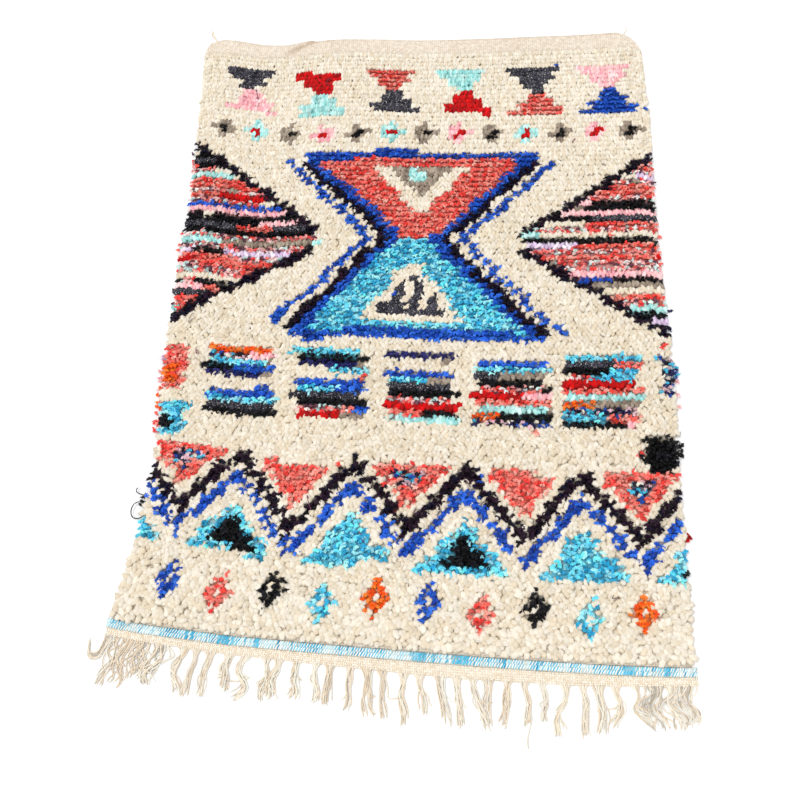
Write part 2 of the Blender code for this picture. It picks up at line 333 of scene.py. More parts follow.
PAIRS = [("charcoal", "pink"), ("red", "mint"), ("coral", "charcoal"),
         ("mint", "red"), ("charcoal", "coral"), ("pink", "royal")]
neck = np.abs(R - NECK_ROW)
for number, (top, bottom) in enumerate(PAIRS):
    inside = (neck < 5.2) & (np.abs(C - 10.5 - 17.2 * number) < 1.3 + neck)
    tie(inside & (R > NECK_ROW), top)
    tie(inside & (R <= NECK_ROW), bottom)

tie((C < 6.0) & (np.abs(R - 26.0) < 2.6), "turquoise")
tie((C < 3.0) & (np.abs(R - 26.0) < 1.0), "black")
tie((C < 3.6) & (np.abs(R - 34.0) < 3.6), "coral")
tie((C < 2.0) & (np.abs(R - 33.0) < 1.6), "orange")
tie((C > 101.0) & (np.abs(R - 25.5) < 2.3), "black")
tie((C > 103.4) & (np.abs(R - 37.0) < 3.0), "multi")
strays = hand.random((ROWS, COLUMNS))
tie((strays < 0.0015) & (chart == YARN["cream"]), "royal")
tie((strays > 0.9988) & (chart == YARN["cream"]), "coral")
shares = np.bincount(chart.ravel(), minlength=len(CARD)) / chart.size
print("shares", {name: round(float(share), 3) for name, share in zip(CARD, shares)})

# %% [markdown]
# A knot is a short length of yarn looped round two warps, so two cut ends stand up from it.
# They could be hairs from a particle system, but such thick yarn shows single ends like popcorn.
# Each end is placed by rule instead: two to a knot, close together, leaning towards the near end.
# Near ends are fat and short. Far ends are thin and lie flatter, side by side, as in the photo.

# %% Place the yarn ends
FIRST_ROW = 0.0065
KNOT_WIDTH = 1.0 / COLUMNS
SIDE_TUCK = 0.986
PAIR_ACROSS, PAIR_ALONG = 0.00245, 0.0036
share = (np.arange(ROWS) + 0.5) / ROWS
first_along = FIRST_ROW / middle_length
row_along = first_along + (PILE_END - first_along) * share * (1.08 - 0.08 * share)

ends = np.random.default_rng(41)
knot_row = np.repeat(row.ravel().astype(int), 2)
knot_column = np.repeat(column.ravel().astype(int), 2)
pair = np.tile([-1.0, 1.0], ROWS * COLUMNS)
yarn = chart[knot_row, knot_column]
kind = np.array([entry[0] for entry in CARD.values()])[yarn]
COUNT = len(pair)
age = knot_row / (ROWS - 1.0)
knot_across = 0.5 + ((knot_column + 0.5) * KNOT_WIDTH - 0.5) * SIDE_TUCK
root_x, root_y = rug_place(knot_across, row_along[knot_row])
root_x = root_x + pair * PAIR_ACROSS + ends.normal(0.0, 1.0, COUNT) * (0.0012 - 0.0007 * age)
root_y = root_y + pair * PAIR_ALONG * (1.0 - age ** 2)
root_y = root_y + ends.normal(0.0, 1.0, COUNT) * (0.0015 - 0.0007 * age)
size = 1.0 + ends.uniform(-0.17, 0.17, COUNT) * (1.0 - 0.5 * age)
is_rag = kind == RAG
long_ends = ends.uniform(0.84, 1.30, COUNT)
wide = np.where(is_rag, 0.0054 - 0.0012 * age, 0.0053 - 0.0017 * age ** 0.8) * size
deep = np.where(is_rag, 0.0060 - 0.0010 * age, (0.0068 + 0.0016 * age) * long_ends) * size
row_pitch = float(np.diff(row_along).mean() * middle_length)
print("yarn ends", COUNT, "rows", round(row_pitch, 4), "m apart")

# %% [markdown]
# The lean, the height and the loft of each end decide how the surface reads. Slow waves over the
# rug give it the low lumps that a thick pile has, and the ends along the rim lean outwards.

# %% Set height and lean
END_HEIGHT = 0.0126
lumps = wander(root_x * 0.9 + root_y * 0.55 + 1.0, 8) + wander(root_y * 0.9 - root_x * 0.4 + 1.0, 9)
rough = ends.normal(0.0, 0.0013, COUNT) * (1.0 - 0.75 * age ** 0.7)
height = (END_HEIGHT + 0.0012 * lumps + rough) * np.where(is_rag, 1.08, 1.0)
flop = np.where(is_rag, 0.0030, 0.0016)
lean_x = ends.normal(0.0, 1.0, COUNT) * flop * (1.0 - 0.5 * age)
lean_y = -(0.0024 + 0.0034 * age) + ends.normal(0.0, 1.0, COUNT) * flop * (1.0 - 0.3 * age)
left_rim = np.clip(1.0 - knot_column / 2.0, 0.0, 1.0)
right_rim = np.clip(1.0 - (COLUMNS - 1 - knot_column) / 2.0, 0.0, 1.0)
near_rim = np.clip(1.0 - knot_row / 2.0, 0.0, 1.0)
lean_x = lean_x * (1.0 - 0.6 * np.maximum(left_rim, right_rim)) + 0.0012 * (right_rim - left_rim)
lean_y = lean_y - 0.0014 * near_rim
height = height * (1.0 - 0.20 * np.maximum(np.maximum(left_rim, right_rim), near_rim))
turn = ends.normal(0.0, 0.75, COUNT) * (1.0 - age) + ends.normal(0.0, 0.22, COUNT)
turn = np.where(is_rag, ends.normal(0.0, 0.65, COUNT), turn)
print("pile from", round(float(height.min()), 4), "to", round(float(height.max()), 4), "m high")

# %% [markdown]
# Every end takes one shade of its yarn, a little lighter or darker than the next. Cream wool
# also drifts slowly over the rug, because it was spun in several lots.

# %% Shade the ends
tint = np.zeros((COUNT, 3))
for name, (_, shades) in CARD.items():
    mine = np.flatnonzero(yarn == YARN[name])
    tint[mine] = light_value(shades)[ends.integers(0, len(shades), len(mine))]
spread_of = np.where(yarn == YARN["cream"], 0.045, 0.13)
tint = tint * (1.0 + spread_of * ends.normal(0.0, 1.0, COUNT))[:, None]
lot = wander(row_along[knot_row] * 1.7, 12) * 0.025 + wander(root_x + 0.5, 13) * 0.012
is_cream = yarn == YARN["cream"]
tint = np.where(is_cream[:, None], tint * (1.0 + lot[:, None] * [1.0, 1.25, 1.8]), tint)
tint = np.clip(tint, 0.004, 0.95)
print("mean cream", tint[is_cream].mean(axis=0).round(3).tolist())

# %% [markdown]
# A wool end is a soft nub that spreads below its crown, so that neighbours merge in shallow
# seams. A sphere of five sides and three rings is enough for a shape that shows thousands of
# times. Several lumpy versions keep neighbours from looking alike. Its own small map comes from
# the operator.

# %% Make the wool ends
END_MAP = "OFBake"
NUB_LEVELS = [0.0, 0.146, 0.5, 0.854, 1.0]
NUB_BELLY = [1.0, 1.25, 1.38, 1.18, 1.0]
NUB_RISE = [0.0, 0.20, 0.62, 0.90, 1.0]


def wool_end(seed):
    """A nub about two units wide and one unit tall, with its root at zero."""
    uneven = np.random.default_rng(300 + seed)
    end = bmesh.new()
    end.loops.layers.uv.new(END_MAP)
    bmesh.ops.create_uvsphere(end, u_segments=5, v_segments=4, radius=1.0, calc_uvs=True)
    for vert in end.verts:
        lump = noise.noise(vert.co * 1.4 + Vector((seed * 5.3, seed * 1.7, 0.0)))
        upward = (vert.co.z + 1.0) / 2.0
        belly = np.interp(upward, NUB_LEVELS, NUB_BELLY) * uneven.uniform(0.82, 1.16)
        vert.co.x *= belly * (1.0 + 0.45 * lump)
        vert.co.y *= belly * (1.0 - 0.40 * lump)
        rise = np.interp(upward, NUB_LEVELS, NUB_RISE) * (1.0 + 0.10 * lump)
        vert.co.z = rise * uneven.uniform(0.94, 1.05)
    return end


def as_template(versions, smooth):
    """Several versions of one small shape, as arrays that can be laid out many times."""
    first = versions[0]
    first.verts.index_update()
    loops = [corner.vert.index for face in first.faces for corner in face.loops]
    layer = first.loops.layers.uv[END_MAP]
    template = {
        "co": np.array([[vert.co[:] for vert in one.verts] for one in versions]),
        "loops": np.array(loops),
        "totals": np.array([len(face.verts) for face in first.faces]),
        "uv": np.array([corner[layer].uv[:] for face in first.faces for corner in face.loops]),
        "smooth": smooth,
    }
    for one in versions:
        one.free()
    return template


wool = as_template([wool_end(seed) for seed in range(12)], smooth=True)
print("wool end", wool["co"].shape[1], "points,", int((wool["totals"] - 2).sum()), "triangles")

# %% [markdown]
# A rag end is jersey cut from old clothes into narrow strips, which curl and crease lengthwise.
# Flat cards would look like paper, so each strip is a bar of three sides: its long crease gives
# two faces that catch the light differently. One cut across lets it stand up and then flop over.
# Three strips leave each root, mostly towards the near end, and they stay faceted.

# %% Make the rag ends
STRIPS = 3
STRIP_LEVELS = [0.0, 0.5, 1.0]
FAN = 62.0
FAN_STRAY = 26.0


def rag_end(seed):
    """Three creased strips about two units across and one unit tall, with their root at zero."""
    crumple = np.random.default_rng(100 + seed)
    end = bmesh.new()
    layer = end.loops.layers.uv.new(END_MAP)
    for number in range(STRIPS):
        bar = bmesh.ops.create_cone(end, cap_ends=True, segments=3, radius1=0.46, radius2=0.56, depth=1.0,
                                    calc_uvs=True)["verts"]
        faces = list({face for vert in bar for face in vert.link_faces})
        edges = list({edge for vert in bar for edge in vert.link_edges})
        for corner in [corner for face in faces for corner in face.loops]:
            corner[layer].uv = ((corner[layer].uv.x * 0.98 + number) / STRIPS, corner[layer].uv.y)
        cut = bmesh.ops.bisect_plane(end, geom=[*bar, *edges, *faces], plane_co=(0.0, 0.0, 0.0),
                                     plane_no=(0.0, 0.0, 1.0))["geom_cut"]
        aim = np.radians(-90.0 + FAN * (number - 1) + crumple.uniform(-FAN_STRAY, FAN_STRAY))
        out_by = Vector((np.cos(aim), np.sin(aim), 0.0))
        beside = Vector((-np.sin(aim), np.cos(aim), 0.0))
        reach = crumple.uniform(1.00, 1.90)
        tip_rise = crumple.uniform(0.60, 1.00)
        for vert in [*bar, *(item for item in cut if isinstance(item, bmesh.types.BMVert))]:
            level = vert.co.z + 0.5
            jolt = Vector(crumple.uniform(-0.10, 0.10, 3))
            facing = (out_by * (1.0 - level) + Vector((0.0, 0.0, level))).normalized()
            flat = beside * vert.co.x + facing * vert.co.y * 0.42
            rise = np.interp(level, STRIP_LEVELS, [0.0, 0.86, tip_rise])
            out = np.interp(level, STRIP_LEVELS, [0.0, 0.22, 1.0]) * reach - 0.25
            vert.co = out_by * out + flat + jolt * level + Vector((0.0, 0.0, rise))
    bmesh.ops.recalc_face_normals(end, faces=end.faces[:])
    return end


rag = as_template([rag_end(seed) for seed in range(16)], smooth=False)
print("rag end", rag["co"].shape[1], "points,", int((rag["totals"] - 2).sum()), "triangles")

# %% [markdown]
# Every piece needs the same few things: an object in the scene, a map, and values on its points
# that its material reads by name. Short helpers give them, so that the steps below only say what
# is special about a piece. The map is shared out in square cells, one for each copy or string.

# %% Helpers for meshes
def vectors(x, y, z):
    """Places or directions from their three parts, each a list of numbers or one number."""
    return np.stack(np.broadcast_arrays(x, y, z), axis=1)


def add_object(name, data):
    """An object in the scene, at the origin and unturned."""
    made = bpy.data.objects.new(name, data)
    bpy.context.scene.collection.objects.link(made)
    return made


def give_map(mesh, name, places):
    """A map with a place for every corner of a mesh."""
    mesh.uv_layers.new(name=name).uv.foreach_set("vector", places.astype(np.float32).ravel())


def give_points(mesh, name, values):
    """A value, or a colour of four, for every point of a mesh, which materials read by its name."""
    kind_name, key = ("FLOAT_COLOR", "color") if np.ndim(values) > 1 else ("FLOAT", "value")
    made = mesh.attributes.new(name, kind_name, "POINT")
    made.data.foreach_set(key, np.asarray(values, np.float32).ravel())


def own_cells(count):
    """The corner of each copy's own cell in a square map, and how many cells it has to a side."""
    cells = int(np.ceil(np.sqrt(count)))
    return np.stack([np.arange(count) % cells, np.arange(count) // cells], axis=1)[:, None], cells


print("each copy has its own cell of the map named", END_MAP)

# %% [markdown]
# Thousands of ends as objects would be slow, so each piece is one joined mesh: the small shape's
# arrays are laid out at every root with numpy. Each copy gets its own cell of the bake map, its
# yarn's tint, and a value that runs from its root to its tip.

# %% Lay out many copies
LOWEST = 0.0004


def lay_out(name, template, roots, side, front, rise, lean, colours, seed):
    """One mesh object with a copy of the template at each root."""
    copies = len(roots)
    version = np.random.default_rng(seed).integers(0, len(template["co"]), copies)
    shape = template["co"][version]
    upward = np.clip(shape[..., 2:3], 0.0, None)
    points = roots[:, None] + shape[..., 0:1] * side[:, None] + shape[..., 1:2] * front[:, None]
    points = points + shape[..., 2:3] * rise[:, None] + upward ** 1.7 * lean[:, None]
    points[..., 2] = np.maximum(points[..., 2], LOWEST)
    width = template["co"].shape[1]
    corners = (template["loops"][None] + np.arange(copies)[:, None] * width).ravel()
    totals = np.tile(template["totals"], copies)
    mesh = bpy.data.meshes.new(name)
    mesh.vertices.add(copies * width)
    mesh.loops.add(len(corners))
    mesh.polygons.add(len(totals))
    mesh.vertices.foreach_set("co", points.astype(np.float32).ravel())
    mesh.loops.foreach_set("vertex_index", corners.astype(np.int32))
    mesh.polygons.foreach_set("loop_start", (np.cumsum(totals) - totals).astype(np.int32))
    mesh.polygons.foreach_set("use_smooth", np.full(len(totals), template["smooth"]))
    mesh.update(calc_edges=True)
    corner_cell, cells = own_cells(copies)
    give_map(mesh, END_MAP, (corner_cell + 0.10 + 0.80 * template["uv"][None]) / cells)
    give_points(mesh, "tint", np.repeat(colours, width, axis=0))
    give_points(mesh, "along", np.clip(shape[..., 2], 0.0, 1.0).ravel())
    return add_object(name, mesh)


print("no copy reaches below", LOWEST, "m")

# %% [markdown]
# Materials share their effects as node groups. A few small helpers keep the trees readable: one
# makes a group with named sockets, another adds a node and fills or joins its inputs, and the
# rest are short ways to add the nodes that come up most often.

# %% Helpers for shader nodes
def add_node(tree, kind_name, inputs=None, **settings):
    """A node with its settings made and its inputs filled or joined."""
    made = tree.nodes.new(kind_name)
    for key, value in settings.items():
        setattr(made, key, value)
    for key, value in (inputs or {}).items():
        if isinstance(value, bpy.types.NodeSocket):
            tree.links.new(value, made.inputs[key])
        else:
            made.inputs[key].default_value = value
    return made


def start_group(name, inputs, outputs):
    """A shader node group with named sockets, its tree, and its inside input and output."""
    tree = bpy.data.node_groups.new(name, "ShaderNodeTree")
    for label, (socket_type, value) in inputs.items():
        socket = tree.interface.new_socket(name=label, in_out="INPUT", socket_type=socket_type)
        if value is not None:
            socket.default_value = value
    for label, socket_type in outputs.items():
        tree.interface.new_socket(name=label, in_out="OUTPUT", socket_type=socket_type)
    return tree, tree.nodes.new("NodeGroupInput").outputs, tree.nodes.new("NodeGroupOutput").inputs


def use_group(tree, group, inputs):
    """A group placed in a material with its own values. Gives its outputs."""
    return add_node(tree, "ShaderNodeGroup", inputs, node_tree=group).outputs


def reckon(tree, operation, *values):
    """The result of a sum on numbers or sockets."""
    return add_node(tree, "ShaderNodeMath", dict(enumerate(values)), operation=operation).outputs[0]


def mix_colours(tree, share, first, second):
    """A colour between two others."""
    inputs = {0: share, 6: first, 7: second}
    return add_node(tree, "ShaderNodeMix", inputs, data_type="RGBA").outputs[2]


FLOAT, COLOUR, VECTOR = "NodeSocketFloat", "NodeSocketColor", "NodeSocketVector"
print("shader helpers ready")

# %% [markdown]
# A tuft is painted darkest at its root, where light hardly reaches, and its colour is never even: the noise
# mottle is partly uneven dye and partly painted shade in the small gaps between fibres and strips. Some
# yarns are heathered: pale hairs were carded in with dark ones. This group makes all three from the tint,
# the value along the end, and noise, and the tint's alpha says how heathered it is.

# %% Group for yarn colour
yarn_colour, given, result = start_group(
    "yarn_colour",
    {"Tint": (COLOUR, None), "Along": (FLOAT, 1.0), "Place": (VECTOR, None), "Heather": (FLOAT, 0.0),
     "Root Tone": (COLOUR, (0.7, 0.7, 0.7, 1.0)), "Mottle": (FLOAT, 0.08), "Mottle Scale": (FLOAT, 260.0)},
    {"Color": COLOUR},
)
depth = add_node(yarn_colour, "ShaderNodeMapRange", {
    "Value": given["Along"], "From Min": 0.1, "From Max": 0.75})
shaded = add_node(yarn_colour, "ShaderNodeVectorMath", {0: given["Tint"], 1: given["Root Tone"]},
                  operation="MULTIPLY").outputs[0]
lifted = mix_colours(yarn_colour, depth.outputs[0], shaded, given["Tint"])
# The mottle is partly uneven dye and partly painted shade in the small gaps between fibres and strips.
blotch = add_node(yarn_colour, "ShaderNodeTexNoise", {
    "Vector": given["Place"], "Scale": given["Mottle Scale"], "Detail": 3.0, "Roughness": 0.6})
centred = reckon(yarn_colour, "SUBTRACT", blotch.outputs[0], 0.5)
uneven = reckon(yarn_colour, "MULTIPLY_ADD", centred, given["Mottle"], 1.0)
dyed_and_shaded = add_node(yarn_colour, "ShaderNodeVectorMath", {0: lifted, "Scale": uneven},
                operation="SCALE").outputs[0]
hairs = add_node(yarn_colour, "ShaderNodeTexNoise", {
    "Vector": given["Place"], "Scale": 330.0, "Detail": 3.0, "Roughness": 0.7})
level = reckon(yarn_colour, "MULTIPLY_ADD", given["Heather"], -0.26, 0.80)
level_top = reckon(yarn_colour, "ADD", level, 0.05)
pale = add_node(yarn_colour, "ShaderNodeMapRange", {
    "Value": hairs.outputs[0], "From Min": level, "From Max": level_top})
mixed = mix_colours(yarn_colour, pale.outputs[0], dyed_and_shaded, (0.72, 0.70, 0.66, 1.0))
yarn_colour.links.new(mixed, result["Color"])
print("group", yarn_colour.name, len(yarn_colour.nodes), "nodes")

# %% [markdown]
# Wool has fine curly fibres, and crumpled jersey has sharp little creases. Both are too small to
# model, so each is a height made from noise for a Bump node. Creases come from folding the noise
# at its middle value, which turns smooth hills into narrow ridges.

# %% Groups for fibres and creases
wool_fibres, given, result = start_group(
    "wool_fibres", {"Place": (VECTOR, None), "Scale": (FLOAT, 900.0)}, {"Height": FLOAT})
curls = add_node(wool_fibres, "ShaderNodeTexNoise", {
    "Vector": given["Place"], "Scale": given["Scale"], "Detail": 3.0, "Roughness": 0.65, "Distortion": 1.5})
wool_fibres.links.new(curls.outputs[0], result["Height"])

rag_creases, given, result = start_group(
    "rag_creases", {"Place": (VECTOR, None), "Scale": (FLOAT, 300.0)}, {"Height": FLOAT})
folds = add_node(rag_creases, "ShaderNodeTexNoise", {
    "Vector": given["Place"], "Scale": given["Scale"], "Detail": 2.0, "Roughness": 0.5, "Distortion": 0.8})
middle_value = reckon(rag_creases, "SUBTRACT", folds.outputs[0], 0.5)
ridge = reckon(rag_creases, "ABSOLUTE", middle_value)
crease = add_node(rag_creases, "ShaderNodeMath", {0: ridge, 1: 5.0}, operation="MULTIPLY", use_clamp=True)
rag_creases.links.new(crease.outputs[0], result["Height"])
print("groups", wool_fibres.name, "and", rag_creases.name)

# %% [markdown]
# Cotton string is plied: its strands wind round each other and leave slanting grooves. The group
# reads a map that runs round the string and along it in metres, and puts out the strands' height.
# The woven ends are a plain weave, made from two sine waves at the warp's and the weft's pitch.

# %% Groups for plied string and plain weave
def humps(tree, count):
    """A row of round humps, one for each whole number that the count passes."""
    half_turns = reckon(tree, "MULTIPLY", count, float(np.pi))
    return reckon(tree, "ABSOLUTE", reckon(tree, "SINE", half_turns))


plied_string, given, result = start_group(
    "plied_string", {"Strand": (VECTOR, None), "Turns": (FLOAT, 150.0), "Plies": (FLOAT, 3.0)},
    {"Height": FLOAT})
parts = add_node(plied_string, "ShaderNodeSeparateXYZ", {0: given["Strand"]})
wound = reckon(plied_string, "MULTIPLY_ADD", parts.outputs[1], given["Turns"], parts.outputs[0])
phase = reckon(plied_string, "MULTIPLY", wound, given["Plies"])
plied_string.links.new(humps(plied_string, phase), result["Height"])

plain_weave, given, result = start_group(
    "plain_weave", {"Place": (VECTOR, None), "Warp Pitch": (FLOAT, 0.004), "Weft Pitch": (FLOAT, 0.0024),
                    "Warp Share": (FLOAT, 0.35)},
    {"Height": FLOAT})
parts = add_node(plain_weave, "ShaderNodeSeparateXYZ", {0: given["Place"]})
threads = [humps(plain_weave, reckon(plain_weave, "DIVIDE", parts.outputs[axis], given[pitch]))
           for axis, pitch in (("X", "Warp Pitch"), ("Y", "Weft Pitch"))]
woven = add_node(plain_weave, "ShaderNodeMix", {0: given["Warp Share"], 2: threads[1], 3: threads[0]})
plain_weave.links.new(woven.outputs[0], result["Height"])
print("groups", plied_string.name, "and", plain_weave.name)

# %% [markdown]
# Wool is matt with a faint bloom of loose hairs, so it has high roughness and a little sheen.
# Cotton jersey is smoother and its creases catch the light, so its roughness is lower.

# %% Pile materials
def start_material(name, roughness, specular, sheen):
    """A material with its constant values set on the shader itself."""
    material = bpy.data.materials.new(name)
    material.use_nodes = True
    shader = material.node_tree.nodes["Principled BSDF"]
    shader.inputs["Roughness"].default_value = roughness
    shader.inputs["Specular IOR Level"].default_value = specular
    shader.inputs["Sheen Weight"].default_value = sheen
    shader.inputs["Sheen Roughness"].default_value = 0.6
    return material, material.node_tree, shader


def finish_material(tree, shader, colour, height, strength, distance):
    """The colour joined to the shader, with a bump made from a height."""
    bump = add_node(tree, "ShaderNodeBump", {"Strength": strength, "Distance": distance, "Height": height})
    tree.links.new(colour, shader.inputs["Base Color"])
    tree.links.new(bump.outputs[0], shader.inputs["Normal"])


def pile_material(name, values, fibre_group, fibre_scale, bump_depth, colour_values):
    """Tint from the mesh, shaded by the colour group, with a fine bump from the fibre group."""
    material, tree, shader = start_material(name, *values)
    place = add_node(tree, "ShaderNodeTexCoord").outputs["Object"]
    tint_in = add_node(tree, "ShaderNodeAttribute", attribute_name="tint").outputs
    along_in = add_node(tree, "ShaderNodeAttribute", attribute_name="along").outputs["Fac"]
    colour = use_group(tree, yarn_colour, {"Tint": tint_in["Color"], "Heather": tint_in["Alpha"],
                                           "Along": along_in, "Place": place, **colour_values})
    fine = use_group(tree, fibre_group, {"Place": place, "Scale": fibre_scale})
    finish_material(tree, shader, colour["Color"], fine["Height"], 0.7, bump_depth)
    return material


# Root tone and mottle paint shade into the colour: darker roots and small dark gaps, along with uneven dye.
cream_wool = pile_material("cream_wool", (0.93, 0.20, 0.15), wool_fibres, 340.0, 0.0011,
                           {"Root Tone": (0.95, 0.91, 0.83, 1.0), "Mottle": 0.50, "Mottle Scale": 280.0})
dyed_wool = pile_material("dyed_wool", (0.92, 0.12, 0.04), wool_fibres, 380.0, 0.0009,
                          {"Root Tone": (0.76, 0.74, 0.74, 1.0), "Mottle": 0.78, "Mottle Scale": 330.0})
cotton_rag = pile_material("cotton_rag", (0.50, 0.32, 0.0), rag_creases, 300.0, 0.0006,
                           {"Root Tone": (1.0, 0.76, 0.76, 1.0), "Mottle": 1.05, "Mottle Scale": 240.0})
print("pile materials", cream_wool.name, dyed_wool.name, cotton_rag.name)

# %% [markdown]
# A knot is tied round two warps and both its ends stand up side by side. The pile is split by
# yarn and by place, so that each piece stays light and carries one material. Each piece runs the
# whole length of the rug.

# %% Knot the pile
ROOT_HEIGHT = 0.0020
HEATHERED = {"charcoal": 0.75, "taupe": 0.55, "black": 0.10, "pink": 0.35}
heather = np.zeros(COUNT)
for name, amount in HEATHERED.items():
    heather[yarn == YARN[name]] = amount


def knot_piece(name, chosen, template, material, seed):
    """One piece of pile from the chosen yarn ends."""
    cos, sin = np.cos(turn[chosen]), np.sin(turn[chosen])
    roots = vectors(root_x[chosen], root_y[chosen], ROOT_HEIGHT)
    side = vectors(cos * wide[chosen], sin * wide[chosen], 0.0)
    front = vectors(-sin * deep[chosen], cos * deep[chosen], 0.0)
    rise = vectors(0.0, 0.0, height[chosen])
    lean = vectors(lean_x[chosen], lean_y[chosen], 0.0)
    made = lay_out(name, template, roots, side, front, rise, lean,
                   np.concatenate([tint[chosen], heather[chosen, None]], axis=1), seed)
    made.data.materials.append(material)
    return made


pile_pieces = []
cuts = np.quantile(root_x[is_cream], [0.0, 1.0 / 3.0, 2.0 / 3.0, 1.0])
for number in range(3):
    band = is_cream & (root_x >= cuts[number]) & (root_x < cuts[number + 1] + (number == 2))
    pile_pieces.append(knot_piece(f"cream_pile_{number + 1}", band, wool, cream_wool, 60 + number))
pile_pieces.append(knot_piece("dyed_wool_pile", (kind == WOOL) & ~is_cream, wool, dyed_wool, 70))
middle_rag = np.median(root_x[is_rag])
pile_pieces.append(knot_piece("rag_pile_1", is_rag & (root_x < middle_rag), rag, cotton_rag, 80))
pile_pieces.append(knot_piece("rag_pile_2", is_rag & (root_x >= middle_rag), rag, cotton_rag, 81))


def triangle_count(thing):
    """Triangles of a mesh object."""
    totals = np.zeros(len(thing.data.polygons), np.int32)
    thing.data.polygons.foreach_get("loop_total", totals)
    return int((totals - 2).sum())


print("pile", {piece.name: triangle_count(piece) for piece in pile_pieces})

# %% [markdown]
# Under the pile lies the ground weave, and at the far end it shows as a flat-woven strip with fine ribs
# along its warps. It is a sheet with a top raised by rule. Below the pile it is tucked in a little, so that
# only the yarn ends show at the sides. The strip's left part has a soft diagonal fold, made as a low ridge.

# %% Places of the ground cloth
FOLD = ((-0.345, 0.752), (-0.262, 0.806))
FOLD_HEIGHT = 0.0060
FOLD_WIDTH = 0.014
FOLD_STEEP = 0.0034


def beside_fold(x, y):
    """How far right of the fold's line a place is, and the fold's strength there, from 0 to 1."""
    (x0, y0), (x1, y1) = FOLD
    length = np.hypot(x1 - x0, y1 - y0)
    beyond = ((x - x0) * (x1 - x0) + (y - y0) * (y1 - y0)) / length ** 2
    return ((x - x0) * (y1 - y0) - (y - y0) * (x1 - x0)) / length, np.clip(beyond * 3.0, 0.0, 1.0)


def fold_height(x, y):
    """The height that the soft fold adds at a place: steep on its right, gentle on its left."""
    aside, fade = beside_fold(x, y)
    return FOLD_HEIGHT * fade * np.exp(-(aside / np.where(aside > 0.0, FOLD_STEEP, FOLD_WIDTH)) ** 2)


WOVEN_ROWS = 22
GROUND_TUCK = 0.982
PILE_ROWS = ROWS / (ROWS + WOVEN_ROWS)
GRID_ROWS = np.r_[0.0, PILE_ROWS * (np.arange(ROWS) + 0.5) / ROWS, PILE_ROWS, 1.0]
GRID_ALONG = np.r_[0.0, row_along, PILE_END, 1.0]
RIBS_PER_KNOT = 2
RIB_HEIGHT = 0.0007


def ground_place(across, share_up):
    """x, y and the height of the ground cloth's top."""
    along = float(np.interp(share_up, GRID_ROWS, GRID_ALONG))
    bare = np.clip((along - PILE_END + 0.03) / 0.03, 0.0, 1.0)
    x, y = rug_place(0.5 + (across - 0.5) * (GROUND_TUCK + (1.0 - GROUND_TUCK) * bare), along)
    inward = np.clip(min(across, 1.0 - across, along * 1.4) / 0.025, 0.0, 1.0)
    if along < PILE_END:
        return x, y, 0.0034 + 0.0026 * inward * (1.0 - bare)
    rise_up = min(1.0, (along - PILE_END) / (1.0 - PILE_END) * 6.0)
    wave = 0.0005 * wander(across * 2.0, 15) * rise_up
    rib = RIB_HEIGHT * np.sin(np.pi * COLUMNS * RIBS_PER_KNOT * across) ** 2
    return x, y, WOVEN_THICKNESS - 0.0008 + wave + rib + fold_height(x, y) * rise_up


print("ground", len(GRID_ROWS), "known rows,", WOVEN_ROWS, "rows of cloth in the woven end")

# %% [markdown]
# Each weave of the rug is one thin closed sheet. A grid is extruded to a flat underside, and then
# its points go where the sheet's own rule puts them. Its map has the top, the underside and the
# rims side by side. The woven end needs four times the columns, because its ribs are narrow.

# %% Closed cloth sheets
SHEET_BOTTOM = 0.0003


def cloth_slab(name, across_count, along_count, place, material, finer_from=1.0):
    """A thin closed sheet with its own bake map. Past finer_from it has four times the columns."""
    cloth = bmesh.new()
    bmesh.ops.create_grid(cloth, x_segments=across_count, y_segments=along_count, size=0.5)
    crosswise = [edge for edge in cloth.edges if edge.verts[0].co.y > finer_from - 0.5
                 and abs(edge.verts[0].co.y - edge.verts[1].co.y) < WELD]
    if crosswise:
        bmesh.ops.subdivide_edges(cloth, edges=crosswise, cuts=3, use_grid_fill=True)
    copied = bmesh.ops.extrude_face_region(cloth, geom=cloth.faces[:])
    lower_verts = {item for item in copied["geom"] if isinstance(item, bmesh.types.BMVert)}
    layer = cloth.loops.layers.uv.new(END_MAP)
    for face in cloth.faces:
        below = sum(corner.vert in lower_verts for corner in face.loops)
        sides = {round(corner.vert.co.x, 4) for corner in face.loops}
        for corner in face.loops:
            across, along = corner.vert.co.x + 0.5, corner.vert.co.y + 0.5
            if below == 0:
                corner[layer].uv = (0.92 * across, along)
            elif below == len(face.loops):
                corner[layer].uv = (0.93 + 0.02 * across, along)
            elif len(sides) == 1:
                rim = 0.955 + 0.008 * (corner.vert in lower_verts)
                corner[layer].uv = (rim + 0.02 * (across > 0.5), along)
            else:
                corner[layer].uv = (across * 0.92, 0.001 - 0.001 * (corner.vert in lower_verts))
    for vert in cloth.verts:
        x, y, top = place(vert.co.x + 0.5, vert.co.y + 0.5)
        vert.co = (x, y, SHEET_BOTTOM if vert in lower_verts else top)
    bmesh.ops.recalc_face_normals(cloth, faces=cloth.faces[:])
    mesh = bpy.data.meshes.new(name)
    cloth.to_mesh(mesh)
    cloth.free()
    made = add_object(name, mesh)
    mesh.materials.append(material)
    for polygon in mesh.polygons:
        polygon.use_smooth = polygon.normal.z > 0.5
    return made


print("sheets have their underside", SHEET_BOTTOM, "m above the floor")

# %% [markdown]
# The weave is undyed cotton of uneven thickness, which gives soft lighter and darker patches, and it is
# painted lighter on its threads and darker between them, as painted shade. A value on its points turns it
# browner: on the steep side of the fold as painted shade, along the far edge, and a little in slow patches.
# Below the pile the same cloth takes the colour of the yarns above it.

# %% Undyed weave
SOIL_AND_SHADE_BROWN = (0.66, 0.56, 0.45)


